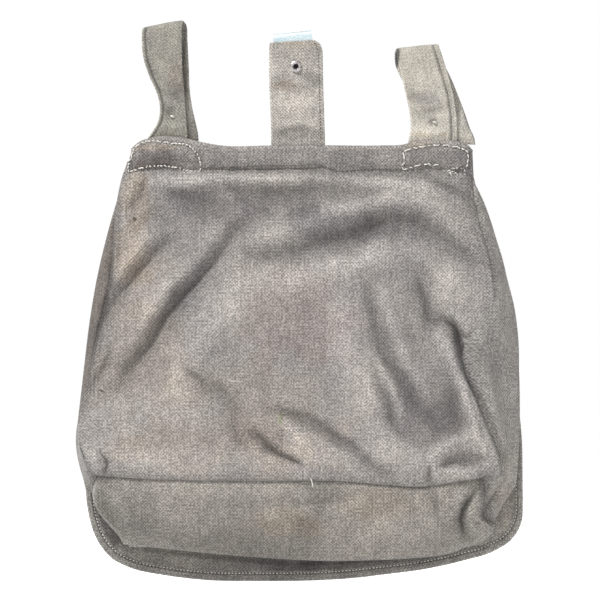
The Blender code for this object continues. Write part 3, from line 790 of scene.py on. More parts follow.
# The strip's DUSK patches, at its ends and its lower left, are painted shade; the TAN ones are stains.
STRIP_STAINS_AND_SHADE = [
    (-110, 262, 22, 14, -30, DUSK, 0.6), (-60, 285, 60, 14, 0, DUSK, 0.4), (-10, 275, 30, 12, 0, TAN, 0.7),
    (60, 262, 40, 14, 0, TAN, 0.45), (110, 275, 16, 14, 0, DUSK, 0.6),
]
GUSSET_STAINS = [
    (-146, 110, 26, 150, 0, DUSK, 0.9), (-146, 130, 20, 120, 0, BROWN, 0.46), (148, 60, 14, 30, 0, DUSK, 0.4),
    (151, 200, 12, 60, 0, PALE, 0.7), (150, 244, 16, 26, 0, PALE, 0.4), (146, 262, 14, 20, 0, TAN, 0.6),
]
# The flap's DARK patches along its foot and at its lower left are painted shade where the bag's body shades
# it; the TAN one is a stain.
FLAP_SHADE_AND_STAIN = [
    (-40, 308, 110, 9, 2, DARK, 0.95), (50, 306, 80, 8, -3, DARK, 0.9), (-140, 280, 14, 30, -20, DARK, 0.95),
    (150, 266, 14, 22, 0, TAN, 0.25),
]
# The binding's DUSK patches are painted shade, deepest at the bottom left, where the bag's body shades it.
HEM_SHADE = [
    (-30, 314, 110, 10, 0, DUSK, 0.5), (-135, 296, 26, 16, 35, DUSK, 0.6), (80, 310, 50, 9, -6, DUSK, 0.3),
]
# On the left loop, the narrow DARK patch at (-83.6, -70) is painted shade between the legs, the SUNLIT one is
# painted light on the shaded far leg, and the DARK one at (-92, -18.6) is painted shade round the knot.
LEFT_STRAP_STAINS_SHADE_AND_LIGHT = [
    (-92, -30, 9, 14, 35, DUSK, 0.9), (-88, -46, 8, 12, 0, PINK, 0.8), (-83.6, -70, 0.9, 26, 3, DARK, 1),
    (-78.6, -46, 3.2, 44, 3, SUNLIT, 0.9), (-78, -12, 5, 10, 0, DUSK, 0.9),
    (-92, -18.6, 3, 2.6, 0, DARK, 0.6), (-108, -74, 4, 20, 0, DUSK, 0.5), (-96, -5, 12, 4, 0, TAN, 0.8),
]
# On the right loop, the BLACK patch at (69.6, -60) is painted shade in the loop's open inner side, and the
# DARK one at (96, -14.6) is painted shade round the knot.
RIGHT_STRAP_STAINS_AND_SHADE = [
    (92, -28, 17, 6, 14, DUSK, 1), (88, -32, 12, 5, 0, DARK, 0.5), (69.6, -60, 2.2, 9.5, 6, BLACK, 1),
    (96, -14.6, 3.6, 2.6, 0, DARK, 0.7), (121, -16, 7, 16, 20, DARK, 0.85), (104, -6, 6, 3, 0, TAN, 0.6),
    (86, -6, 10, 4, 0, TAN, 0.6),
]
# On the tab, the DARK patch at (10, -45) is painted shade in the crease below the rivet, and the one at (-2,
# -7) is painted shade in the fold at its foot.
TAB_STAINS_AND_SHADE = [
    (-14, -46, 9, 5, 0, DUSK, 0.9), (-12, -41, 8, 3.5, 0, BROWN, 0.45), (-2, -7, 17, 6, 0, DARK, 0.6),
    (10, -45, 8, 5, 30, DARK, 0.6), (-14, -62, 8, 10, 0, DUSK, 0.5), (10, -64, 6, 7, 0, DUSK, 0.45),
    (-4, -28, 15, 9, 0, PALE, 0.5), (-2, -71, 14, 3, 0, TAN, 0.5), (9, -24, 4, 3, 0, DARK, 0.5),
]


def strap_canvas(name, base, light, patches, grain, bite):
    """The straps' finer cloth: a twill."""
    return canvas(name, base, light, patches, thread=1.6, twill=True, grain=grain, bite=bite)


body_look = canvas("body_canvas_worn", srgb(154, 149, 146), srgb(167, 161, 156), BODY_STAINS_AND_SHADE, grime_and_shade=0.24)
band_look = canvas("band_canvas_worn", srgb(143, 138, 135), srgb(158, 152, 147), BAND_STAINS)
strip_look = canvas("strip_canvas_worn", srgb(152, 147, 140), srgb(164, 158, 150), STRIP_STAINS_AND_SHADE)
gusset_look = canvas("gusset_canvas_worn", srgb(153, 149, 145), srgb(165, 160, 154), GUSSET_STAINS)
flap_look = canvas("flap_canvas_worn", srgb(158, 154, 148), srgb(174, 168, 159), FLAP_SHADE_AND_STAIN)
hem_look = canvas("hem_canvas_worn", srgb(151, 148, 142), srgb(166, 161, 155), HEM_SHADE, cloudy=0.14)
left_strap_look = strap_canvas(
    "left_strap_canvas_worn", srgb(144, 141, 132), srgb(160, 155, 145), LEFT_STRAP_STAINS_SHADE_AND_LIGHT, 0.18, 0.18
)
right_strap_look = strap_canvas(
    "right_strap_canvas_worn", srgb(190, 184, 172), srgb(204, 198, 187), RIGHT_STRAP_STAINS_AND_SHADE, 0.14, 0.14
)
tab_look = strap_canvas("tab_canvas_worn", srgb(174, 168, 160), srgb(192, 186, 178), TAB_STAINS_AND_SHADE, 0.2, 0.24)
closure_look = strap_canvas("closure_canvas_worn", srgb(176, 169, 156), srgb(190, 182, 168), (), 0.2, 0.24)
white_thread = thread_look("white_thread", srgb(246, 243, 236), srgb(206, 201, 193))
grey_thread = thread_look("grey_thread", srgb(176, 170, 160), srgb(96, 92, 88))
dark_thread = thread_look("dark_thread", srgb(112, 106, 100), srgb(66, 62, 60))
hook_look = metal("hook_metal_worn", srgb(229, 244, 248), srgb(212, 231, 237), 0.42, 120.0, metallic=0.85)
rivet_look = metal("rivet_metal_worn", srgb(214, 208, 208), srgb(120, 106, 106), 0.3, 700.0)
# A dark metal for the bore's cup: painted shade inside the hollow rivet.
bore_shade_look = metal("rivet_bore_painted_shade", srgb(60, 50, 50), srgb(34, 28, 28), 0.7, 900.0, metallic=0.3)
button_look = metal("button_metal_worn", srgb(70, 70, 66), srgb(120, 104, 84), 0.5, 500.0, metallic=0.7)


def dress(obj, look, body=None, replaced=()):
    """Gives a piece its look. It rides on the body when one is given."""
    obj.data.materials.clear()
    obj.data.materials.append(look)
    if body:
        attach(obj, body)
    if replaced:
        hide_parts(*replaced)
    return obj


def bend_at(obj, joint_name, start_above, end_above):
    """Bakes the piece's transform into its mesh. The joint's place and the two heights in mm give a start and
    an end that nothing uses, so nothing bends.
    """
    joint = JOINTS[joint_name]
    start, end = Vector(joint["pos_m"]), Vector(joint["pos_m"])
    start.z += start_above * MM
    end.z += end_above * MM
    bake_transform(obj)


def blend_strap(obj, strap):
    """Bakes the strap's transform into its mesh; no bend is made where it leaves the band."""
    bend_at(obj, strap + "_swing", -2, 9)


def blend_fold(obj, strap):
    """Bakes the buttoned end's transform into its mesh; no bend is made below the fold."""
    bend_at(obj, strap + "_open", 4, -8)


def blend_flap(obj):
    """Bakes the flap's transform into its mesh; no bend is made about its hinge line."""
    bend_at(obj, "flap_open", 4, -12)


# ---- the bag's body ----
def world(x, y, down):
    return np.stack(np.broadcast_arrays(x, y, TOP - down), -1)


def shares(rows, columns):
    """The shares across (0 at the left) and along (0 at the top) of a cloth's grid of points."""
    return np.linspace(0, 1, columns)[None, :], np.linspace(0, 1, rows)[:, None]


def wall_sheet(name, x, y, down, relief, thickness=CANVAS):
    """A cloth sheet whose weave lies flat in the bag's own plane."""
    return sheet(name, world(x, y, down), np.stack([x, down], -1), relief, thickness)


TUCKED_IN = 14.0  # how far down the back wall's hidden top edge is


def make_back():
    """The back wall. Its top edge is tucked in under the band, and its columns are closer at the sides."""
    u, v = shares(165, 200)
    u = mix(u, 0.5 - 0.5 * np.cos(math.pi * u), 0.35)
    guess = mix(TUCKED_IN, SEAM_DOWN, v)
    x = mix(left_seam(guess), right_seam(guess), u)
    down = mix(TUCKED_IN, bottom_seam(x), v)
    obj = wall_sheet("back_cloth", x, back_y(x, down), down, back_shade_and_grime(x, down))
    dress(obj, body_look, "bag_back", ["back_panel"])


def turned_in(share, reach, depth):
    """How far a rounded edge falls back: the depth at the edge itself, and nothing past its reach."""
    return depth * (1 - np.sqrt(1 - (1 - np.minimum(share / reach, 1)) ** 2))


def make_band():
    """The top band, wider at its foot, with both long edges turned in."""
    u, v = shares(26, 260)
    x = mix(-121.0, 124.0, u) - 3.8 * v * (1 - smooth(0, 0.15, u)) + 1.0 * v * smooth(0.9, 1, u)
    down = mix(band_top(x), band_foot(x), v)
    y = band_y(x, down) + turned_in(v, 0.10, 1.6) + turned_in(1 - v, 0.12, 1.9)
    between_boxes = smooth(-78, -66, x) * smooth(78, 70, x)
    # Painted shade: the band's lower part between the strap boxes is darkened as the shade under its rolled
    # foot, and the box stitch lines get painted shade; the light line near the top is rim wear.
    worn = band_height(x, down) - 1.6 - 3.2 * between_boxes * smooth(0.5, 0.95, v)
    worn = worn + 2.5 * bump(v - 0.07, 0.06)
    worn = worn - strokes(x, down, [(5, 1.2, path) for path in (BOX_LEFT, BOX_RIGHT, BOX_RIGHT_FOOT)])
    obj = wall_sheet("band_cloth", x, y, down, worn)
    dress(obj, band_look, "bag_back", ["top_band"])


def blend_to_front(obj):
    """Bakes the piece's transform into its mesh; it is given no weights to the back or the front wall."""
    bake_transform(obj)


def strip_slope(v):
    """The bottom strip's middle surface without its relief, from the back seam (0) to the front one (1)."""
    start = BACK_Y + 1.0
    return start + (front_y(FRONT_FOOT_DOWN) - start) * v**1.7


def strip_end_points(strip_end, v, side):
    """The bottom strip's end, a little inside it, where a side gusset is sewn on."""
    place = strip_end(v)
    return world(place[:, 0] - side * 2.4, strip_slope(v) + 1.6, place[:, 1])


STRIP_FOLDS = [
    (2.6, 5, [(-138, 249), (-128, 265), (-121, 280)]),
    (-2.6, 4, [(-146, 254), (-139, 267), (-131, 279)]),
    (-5, 2.9, [(128, 250), (121.6, 257), (117.4, 264), (116, 271), (117.8, 279), (121.6, 285),
                 (126.4, 289)]),
    (2.8, 2.6, [(130, 250), (126, 258.5), (122.6, 266), (123.6, 274), (129, 280), (136, 279)]),
    (-1.6, 1.4, [(123.6, 277.6), (127.6, 273.8), (131.5, 272)]),
    (2.2, 5, [(124, 246), (114, 258), (110, 272)]),
    (-2, 3, [(-12, 254), (0, 261), (21, 258), (38, 257)]),
    (-1.8, 3, [(0, 290), (10, 273), (18, 261)]),
    (-1.4, 5, [(30, 284), (50, 268), (66, 262)]),
    (1.2, 5, [(38, 288), (60, 276), (78, 268)]),
    (-1.2, 5, [(-20, 262), (0, 270), (22, 282)]),
    (1, 6, [(-60, 262), (-20, 256), (20, 262)]),
    (-2.2, 3, [(95, 248), (98, 258), (101, 272)]),
    (-1.4, 3, [(76, 254), (82, 264), (86, 276)]),
    (1.2, 4, [(84, 252), (90, 264), (93, 276)]),
]


# Strokes of painted shade (-) and painted highlight (+) on the bottom strip: its shaded left end and lower
# left, its lit top edge, and the shadowed fold at its right end.
STRIP_PAINTED_LIGHT = [
    (-5, 7, [(-145, 249), (-141, 262), (-132, 276), (-116, 287)]),
    (-4, 8, [(-124, 280), (-90, 288), (-50, 293), (0, 299)]),
    (-1.6, 6, [(-60, 262), (-10, 258), (30, 258)]),
    (1.6, 5, [(-130, 249), (-60, 250), (0, 250)]),
    (2.6, 2.4, [(-140, 243.6), (-60, 245.8), (32, 246.4), (64, 249), (84, 250.6)]),
    (-12, 2.8, [(127, 251), (121, 258), (117, 265), (115.6, 272), (117.4, 280), (121.6, 286)]),
    (-2.4, 3, [(94.6, 249), (97, 256), (99, 264)]),
    (-2.2, 5, [(22, 252), (10, 262), (0, 280), (-4, 292)]),
    (1.8, 6, [(-22, 256), (-18, 276)]),
]


STRIP_SPAN = 262.0  # the bottom strip's length from end to end


def make_bottom_strip():
    """The bottom strip slopes from the back wall's seam down to the front wall's."""
    u, v = shares(60, 220)
    left, right = strip_left(v[:, 0]), strip_right(v[:, 0])
    x = mix(left[:, :1], right[:, :1], u)
    top = bottom_seam(mix(-144.0, 131.0, u)) - 0.2
    foot = strip_foot(mix(-128.0, 129.0, u))
    plain = mix(top, foot, v)
    down = plain + (1 - smooth(0, 0.06, u)) * (left[:, 1:] - plain)
    down = down + smooth(0.93, 1, u) * (right[:, 1:] - plain)
    puff = 5.6 * np.sin(math.pi * np.clip(v, 0, 1)) ** 0.45 * (1 - 0.4 * v)
    ends = (np.clip(u / 0.012, 0, 1) * np.clip((1 - u) / 0.010, 0, 1)) ** 0.4
    crumple = 0.9 * noise(x, down, 24, 21) + 0.5 * noise(x, down, 10, 22) + 0.15 * noise(x, down, 5, 23)
    crumple = crumple + strokes(x, down, STRIP_FOLDS)
    height = (puff + crumple * np.sin(math.pi * v) ** 0.4) * ends
    y = strip_slope(v) - height
    # Painted light: the tone follows the puff, the left end's rolled edge gets a painted highlight, and the
    # right end's step and the lower edge get painted shade.
    worn = np.maximum(height - 4, -1) + 3 * bump(u * STRIP_SPAN, 2) - 10 * bump((1 - u) * STRIP_SPAN, 1.5)
    worn = worn - 5 * smooth(0.985, 1, v) + strokes(x, down, STRIP_PAINTED_LIGHT)
    obj = wall_sheet("bottom_strip_cloth", x, y, down, worn)
    dress(obj, strip_look, replaced=["bottom_gusset"])
    blend_to_front(obj)


# Strokes of painted shade (-) and painted highlight (+) on the gussets: the shadow under the back wall's
# edges and along the seams, and a lit strip high on the right.
GUSSET_PAINTED_LIGHT = [
    (-6, 2.3, [(118, 150), (119.6, 164), (123, 174), (129.4, 184), (136.6, 198), (141.6, 212), (145, 226),
               (146, 238)]),
    (-6, 2, [(126, 40), (129.8, 58), (135.4, 76), (140, 98), (141.4, 112)]),
    (3, 4, [(132, 54), (141, 78), (149, 104), (153, 130)]),
    (-3, 6, [(-131, 60), (-138, 82), (-144, 110), (-151, 150), (-156, 190)]),
    (-8, 1.8, [(-133.6, 56), (-135.4, 81), (-137.8, 102), (-142.8, 122), (-148.8, 151), (-154, 178)]),
]
GUSSET_FOLDS = [
    (-1.6, 4, [(132, 120), (140, 150), (146, 190)]),
    (1.2, 5, [(128, 150), (138, 190), (146, 226)]),
    (-1.6, 3.2, [(118.5, 160), (122, 172), (128.5, 183), (136, 197), (141.5, 211), (145.5, 225), (147, 234)]),
    (-2.6, 1.8, [(144, 246), (138, 256), (132, 266)]),
    (1.8, 3.2, [(136, 243), (138, 250), (133, 258)]),
    (1.8, 3.2, [(146, 250), (142, 262), (137, 270)]),
    (-1.2, 2.5, [(-138, 96), (-146, 98)]),
    (-1.6, 2.4, [(-152, 238), (-150, 244), (-149, 254)]),
    (1, 3, [(-154, 220), (-154, 236), (-152, 250)]),
]


MOUTH_CUT = 12.5    # how much nearer to the middle the front wall's sides are at the mouth
CORNER_CUT = 10.0   # and at its rounded bottom corners


def corner_cut(v):
    return CORNER_CUT * smooth(0.86, 1, v) ** 1.5


def bulged(back, fold, front, side, columns):
    """A gusset's points: each row runs from the back seam out to the crease, then in to the front wall."""
    bulge = np.minimum(np.abs(fold[:, 0] - back[:, 0]) * 0.17, 5.0)
    points = np.zeros((len(back), columns, 3))
    for c, share in enumerate(np.linspace(0, 1, columns)):
        if share <= 0.5:
            local = share * 2
            line = mix(back, fold, local)
            line[:, 1] -= bulge * math.sin(math.pi * local**0.85) ** 1.5
        else:
            local = share * 2 - 1
            line = mix(fold, front, local)
            line[:, 1] -= 0.8 * math.sin(math.pi * local)
        line[:, 0] += side * 0.8 * math.sin(math.pi * share) ** 3
        points[:, c] = line
    return points


def make_gusset(side_name, side, seam, crease, strip_end):
    """A side gusset, folded at its crease. Its lowest row is sewn to the end of the bottom strip."""
    s, t = shares(150, 52)
    back_down = mix(17.0, 239.0, t)
    front_down = mix(FRONT_TOP_DOWN, FRONT_FOOT_DOWN - 1, t)
    crease_down = mix(back_down, front_down, 0.5 * smooth(0, 0.10, t))
    under_wall = 0.8 + 1.6 * (side > 0) * bump(back_down - 160, 24)
    back_x = seam(back_down) - side * under_wall
    tuck = left_tuck(back_down) if side < 0 else right_tuck(back_down)
    back_y_line = back_y(seam(back_down), back_down) + 0.9 * np.minimum(tuck, 1)
    half_foot = FRONT_HIGH[0]
    front_x = side * (mix(half_foot - MOUTH_CUT, half_foot - 1, t) - corner_cut(t))
    back = world(back_x, back_y_line, back_down)[:, 0]
    crease_y = mix(BACK_Y + 2.5, front_y(crease_down) - 3, 0.62)
    fold = world(crease(crease_down), crease_y, crease_down)[:, 0]
    front = world(front_x, front_y(front_down), front_down)[:, 0]
    points = bulged(back, fold, front, side, s.size)
    end = strip_end_points(strip_end, s[0], side)
    points = mix(points, end[None], smooth(0.90, 1.0, t)[..., None] ** 1.3)
    x, down = points[..., 0], TOP - points[..., 2]
    relief = 0.7 * noise(x, down, 20, 31) + 0.35 * noise(x, down, 8, 32)
    relief = relief + strokes(x, down, GUSSET_FOLDS) * (s < 0.6)
    points[..., 1] -= relief * np.sin(math.pi * s) ** 0.4 * smooth(1.0, 0.985, t)
    away = s + 0 * down
    # Painted shade on the lowest rows, where the gusset goes in behind the bottom strip.
    relief = relief - 9 * smooth(0.95, 1, t) + strokes(x, down, GUSSET_PAINTED_LIGHT)
    if side < 0:
        points, relief, away, down = points[:, ::-1], relief[:, ::-1], away[:, ::-1], down[:, ::-1]
    cloth = np.stack([points[..., 0] + side * points[..., 1], down], -1)
    obj = sheet(side_name + "_gusset_cloth", points, cloth, relief)
    nodes = [f"side_gusset_{side_name}_{half}" for half in ("rear", "front")]
    dress(obj, gusset_look, replaced=nodes)
    blend_to_front(obj)


HEM_WIDTH = 12.0
FRONT_FOLDS = [
    (1.2, 10, [(-60, 150), (-20, 200), (30, 230)]),
    (-1.2, 9, [(70, 130), (40, 180), (20, 240)]),
]


def make_front():
    """The front wall, hidden by the flap until that is opened."""
    u, v = shares(90, 110)
    half = mix(FRONT_HIGH[0] - MOUTH_CUT, FRONT_HIGH[0], v) - corner_cut(v)
    x = mix(-1.0, 1.0, u) * half
    down = mix(FRONT_TOP_DOWN - 2, FRONT_FOOT_DOWN - 2.0, v) + 0 * x
    rumple = 0.8 * noise(x, down, 36, 41) + 0.4 * noise(x, down, 14, 42)
    rumple = rumple + strokes(x, down, FRONT_FOLDS)
    rumple = np.clip(rumple, -1.4, 1.2) * np.sin(math.pi * u) ** 0.3
    hem_down = FRONT_TOP_DOWN + HEM_WIDTH
    hem = 0.5 * smooth(hem_down + 1, hem_down - 1, down)
    y = front_y(down) + rumple + hem
    worn = rumple + 4 * hem - 9 * bump(down - hem_down - 1, 1.2)
    obj = wall_sheet("front_cloth", x, y, down, worn, CANVAS * 1.2)
    dress(obj, body_look, "front_wall", ["front_panel"])
    row = int(np.argmin(np.abs(down[:, 0] - hem_down + 2)))
    path = world(x[row], y[row] + CANVAS * 0.6, down[row])
    outward = [(0, 1, 0)] * len(path)
    thread = stitches("front_hem_stitches", path, outward, pitch=2.7, length=1.9, radius=0.36, seed=43)
    dress(thread, grey_thread, "front_wall")


# ---- the flap ----
FLAP_START = 3.0
FLAP_END = 317.0
FLAP_FOLDS = [
    (-1.6, 12, [(-90, 70), (-60, 140), (-70, 220)]),
    (1.5, 16, [(-20, 60), (10, 140), (0, 240)]),
    (-1.4, 12, [(100, 60), (70, 130), (80, 210)]),
]
# Painted shadow: the dark line where the bag's body rests on the flap and shades it.
SHADED_EDGE = [
    (-151, 258), (-141, 283), (-118, 294), (-73, 299), (-25, 303), (0, 304.4), (50, 303), (103, 298),
    (126, 290),
]


def flap_wave(x, down):
    sag = 0.9 * noise(x, down, 60, 51) + 0.5 * noise(x, down, 22, 52)
    return (sag + strokes(x, down, FLAP_FOLDS)) * smooth(20, 60, down)


def flap_point(x, down):
    """A place on the flap: it leaves the band behind the wall, and hangs from its hinge line."""
    root = mix(BACK_Y + 4.6, HINGE[1], smooth(FLAP_START, TOP - HINGE[2], down))
    y = np.where(down < TOP - HINGE[2], root, flap_y(down))
    return world(x, y + flap_wave(x, down), down)


def paint_shade_inside(obj, tone):
    """Applies the sheet's thickness, and paints shade onto the face that is towards the wearer."""
    apply_modifiers(obj)
    mesh = obj.data
    place = np.zeros(len(mesh.vertices) * 3, np.float32)
    mesh.vertices.foreach_get("co", place)
    values = np.zeros(len(mesh.vertices), np.float32)
    mesh.attributes["relief"].data.foreach_get("value", values)
    half = len(values) // 2
    across = place.reshape(-1, 3)[:, 1]
    first = across[:half].mean() < across[half:].mean()
    inside = slice(0, half) if first else slice(half, None)
    values[inside] += tone.ravel()
    mesh.attributes["relief"].data.foreach_set("value", values)


def make_flap():
    """The flap, behind the bag's body. Its edge lies inside the binding tape."""
    u, v = shares(130, 120)
    down = mix(FLAP_START, FLAP_END - 2.0, 1 - (1 - v) ** 1.25)
    root = mix(119, 122, (down - FLAP_START) / 25)
    left = np.where(down < 28, -root, flap_left(down)) + 2.0
    right = np.where(down < 28, root, flap_right(down)) - 2.0
    x = mix(left, right, u)
    down = down + 0 * x
    obj = sheet("flap_cloth", flap_point(x, down), np.stack([x, down], -1), flap_wave(x, down))
    paint_shade_inside(obj, -12 * near_line(x, down, SHADED_EDGE, 4))
    dress(obj, flap_look, replaced=["flap"])
    blend_flap(obj)


FLAP_FOOT = (317.6, -30)


def flap_outline(steps=260):
    """The flap's edge from its top left, round its foot, to its top right, and the inward direction."""
    points = [(x, down) for down, x in FLAP_LEFT + [FLAP_FOOT] + FLAP_RIGHT[::-1]]
    line = along(points)(np.linspace(0, 1, steps))
    way = unit(np.gradient(line, axis=0))
    inward = np.stack([way[:, 1], -way[:, 0]], 1)
    return line, inward


BINDING_WIDTH = 7.6


def make_binding():
    """A tape folded over the flap's edge, with two rows of stitches on each face."""
    line, inward = flap_outline()
    outer = flap_point(line[:, 0], line[:, 1])
    inner_line = line + inward * BINDING_WIDTH
    inner = flap_point(inner_line[:, 0], inner_line[:, 1])
    tape = Strip(np.hstack([outer, inner]), 2.6, 520, columns=16, wave=0.2, seed=61, groove=5.8)
    obj = tape.build("flap_binding_cloth")
    dress(obj, hem_look, replaced=["flap_binding"])
    blend_flap(obj)
    for row, inset, look in (("outer", 4.4, grey_thread), ("inner", 6.0, white_thread)):
        for face, side in (("rear", 1), ("front", -1)):
            name = f"flap_stitches_{row}_{face}"
            thread = stitches(name, *tape.line(inset, side), 2.5, 1.6, 0.4, seed=62, sink=-0.05)
            dress(thread, look)
            blend_flap(thread)


# ---- straps ----
# Stations of each strap, in mm in the row frame: x, y, z of its left edge, then of its right edge.
LEFT_REAR = [
    (-112, 3.9, -6, -80.4, 3.9, -6),
    (-111.6, 3.9, 9, -80.6, 3.8, 9),
    (-107, 3.8, 16, -81.2, 3.2, 16),
    (-102.4, 4.2, 24, -81.8, 2.6, 24),
    (-100.9, 4.4, 33, -82.4, 2, 33),
    (-102.6, 4, 43, -83.2, 1.6, 43),
    (-108.6, 3.2, 57, -84.2, 1.5, 57),
    (-112.8, 2.8, 70, -85, 1.8, 70),
    (-114, 3, 82, -85.2, 2.4, 86),
    (-113.8, 4.2, 89.6, -84.8, 4.2, 94.6),
    (-113.4, 7.4, 91.6, -84, 7.6, 97),
]
LEFT_FRONT = [
    (-113.4, 7.2, 91.6, -84, 7.4, 97),
    (-112.6, 11.8, 89.2, -82, 11.4, 94.2),
    (-111.4, 14.6, 80, -81.2, 13, 83),
    (-107, 15.4, 62, -80.2, 11.6, 63),
    (-102.4, 13.4, 46, -79.4, 8.4, 46),
    (-100.8, 9, 34, -77.6, 6.6, 34),
    (-101.4, 6.6, 25, -75.6, 6.4, 25),
    (-101.8, 7, 17, -73.6, 7, 16),
    (-100.8, 8, 12.8, -73, 8, 10.6),
]
RIGHT_REAR = [
    (78, 3.9, -6, 112.6, 3.9, -6),
    (78, 3.9, 9, 113, 3.9, 9),
    (79.6, 3.6, 20, 113.2, 3.6, 20),
    (79, 3.2, 30, 112.6, 3.4, 30),
    (76.4, 2.4, 43, 110.6, 3, 43),
    (72.4, 1.8, 60, 105.8, 2.6, 61),
    (70, 2.6, 70, 102, 3, 73),
    (69.4, 4.6, 75, 100.2, 5, 78.6),
    (69.2, 7.6, 76.4, 100, 7.8, 79.8),
]
RIGHT_FRONT = [
    (69.2, 7.4, 76.4, 100, 7.6, 79.8),
    (68.4, 11.6, 73.6, 100.8, 12, 77),
    (68.8, 13.4, 66, 103.4, 13.8, 68),
    (74, 12.4, 54, 109.4, 13, 55),
    (80, 9.8, 42, 114.6, 10.6, 42),
    (86, 6.8, 30, 119, 7.4, 30),
    (89.4, 6.4, 22, 122, 6.4, 21),
    (92.6, 6.4, 13, 126, 6.4, 11),
    (95, 6.5, 9.6, 126.4, 6.5, 7.6),
]
TAB = [
    (-21.4, 4, -6, 18, 4, -6),
    (-20.8, 4, 9, 18, 4, 9),
    (-21.2, 4, 30, 17.4, 4, 30),
    (-22.2, 4, 52, 16.7, 4, 52),
    (-22.3, 4, 68, 16.4, 4, 68),
    (-22.2, 4, 76, 15.9, 4, 76.5),
    (-22.1, 4, 79.4, 14.2, 4, 80.6),
    (-21.6, 4, 81.2, 10.6, 4, 83),
]


LEFT_DENTS = [
    (-1.6, 3.2, [(-96, 32), (-91, 28)]), (0.9, 3.5, [(-98, 42), (-90, 36), (-85, 34)]),
    (-0.9, 3, [(-100, 47), (-92, 43), (-84, 44)]), (0.7, 3, [(-100, 22), (-92, 20), (-83, 22)]),
]
RIGHT_DENTS = [
    (-1.6, 3.4, [(92, 25), (98, 23)]), (1, 4.5, [(77, 40), (90, 36), (106, 38)]),
    (-1, 3.4, [(78, 31), (88, 29), (100, 31)]), (0.8, 3, [(80, 18), (92, 16), (106, 18)]),
    (-0.7, 0.7, [(110.2, 8), (109.6, 25), (106.6, 44), (101.4, 62), (97.2, 77)]),
    (-0.5, 0.5, [(112, 8), (111.6, 25), (108.6, 44), (103.6, 62), (99.2, 77)]),
]


def make_loop(side_name, rear_stations, front_stations, look, hem, dents, thread):
    """A belt loop: its rear leg, the buttoned end folded over to the front, and a stitched line on each."""
    loop = "belt_loop_" + side_name
    rear = Strip(
        rear_stations, STRAP, 120, columns=38, wave=0.25, seed=71, dents=dents, groove=hem, tone=11.0
    )
    front = Strip(front_stations, 1.7, 90, wave=0.2, seed=72)
    blend_strap(dress(rear.build(loop + "_cloth"), look, replaced=[loop]), loop)
    end_node = "belt_loop_end_" + side_name
    blend_fold(dress(front.build(loop + "_end_cloth"), look, replaced=[end_node]), loop)
    row = stitches(loop + "_stitches_0", *rear.line(hem, 1, first=0.2), 2.2, 1.7, 0.24, 73)
    blend_strap(dress(row, thread), loop)
    row = stitches(loop + "_end_stitches_0", *front.line(hem, 1, last=0.96), 2.2, 1.7, 0.24, 74)
    blend_fold(dress(row, grey_thread), loop)
    low, high = box_mm("belt_loop_button_" + side_name)
    make_knot(side_name, rear, (low + high) / 2)
    make_buttonhole(side_name, front, (low + high) / 2)


def make_knot(side_name, rear, button):
    """The tied ends of the thread that holds the button on the far side."""
    x, _, z = button
    leg = slice(0, 60)
    face = float(np.interp(z, rear.middle[leg, 2], rear.middle[leg, 1])) - STRAP / 2 + 0.2
    rng = np.random.default_rng(75)
    for number in range(6):
        turn = rng.uniform(0, math.pi)
        reach = rng.uniform(1.2, 2.3)
        far_x, far_z = reach * math.cos(turn), reach * math.sin(turn)
        path = [
            (x - far_x, face + 0.2, z - far_z),
            (x + rng.uniform(-0.3, 0.3), face - 1.0, z + rng.uniform(-0.3, 0.3)),
            (x + far_x, face + 0.2, z + far_z),
        ]
        curve = along(path)(np.linspace(0, 1, 12))
        name = f"belt_loop_{side_name}_knot_{number}"
        knot = stitches(name, curve, [(0, -1, 0)] * 12, ONE_STITCH, reach * 1.7, 0.42, number)
        dress(knot, white_thread, "belt_loop_" + side_name)


def make_buttonhole(side_name, front, button):
    """A worked slit in the buttoned end: close stitches to and fro across it."""
    x, _, z = button
    leg = front.middle[30:]
    y = leg[int(np.argmin(np.abs(leg[:, 2] - z))), 1] + 0.85
    half, reach, turns = 1.5, 9.5, 60
    points = []
    for share in np.linspace(-1, 1, turns):
        across = half if int((share + 1) * turns / 2) % 2 else -half
        points.append((x + across, y, z + share * reach))
    name = f"belt_loop_{side_name}_hole_stitches"
    edge = stitches(name, points, [(0, 1, 0)] * turns, 3.2, 3.0, 0.26, 76, 0.03)
    dress(edge, grey_thread, "belt_loop_end_" + side_name)


TAB_DENTS = [
    (-0.8, 3, [(-4, 60), (4, 57), (15, 52)]), (0.7, 3, [(-20, 58), (-6, 56), (6, 51), (16, 46)]),
    (-0.9, 3.4, [(-21, 49), (-8, 46), (4, 48), (14, 50)]), (0.8, 5, [(-18, 36), (0, 38), (14, 34)]),
    (-0.7, 2.4, [(6, 28), (14, 26)]), (0.6, 3, [(-14, 20), (0, 24), (12, 20)]),
    (-0.9, 3.2, [(-18, 13), (-6, 18), (6, 18), (14, 12)]),
]


RIVET_BORE = 2.4    # radius of the tab's hole


def make_tab():
    """The strap that holds the hook, pierced by the hollow rivet, with one stitched edge."""
    tab = Strip(TAB, STRAP - 0.2, 110, columns=34, wave=0.1, seed=81, dents=TAB_DENTS)
    obj = tab.build("hook_tab_cloth")
    low, high = box_mm("hook_rivet")
    rivet = (low + high) / 2
    drill(obj, rivet, RIVET_BORE)
    blend_strap(dress(obj, tab_look, replaced=["hook_tab"]), "hook_tab")
    hook_foot = box_mm("belt_hook")[0][2]
    below_hook = float(np.interp(hook_foot - 5, tab.middle[:, 2], np.linspace(0, 1, len(tab.middle))))
    for face, side, last in (("rear", 1, 0.985), ("front", -1, below_hook)):
        edge = tab.line(-3.0, side, first=0.2, last=last)
        row = stitches("hook_tab_stitches_" + face, *edge, 2.3, 1.6, 0.32, 82, 0.2)
        blend_strap(dress(row, dark_thread), "hook_tab")
    make_bore(rivet)


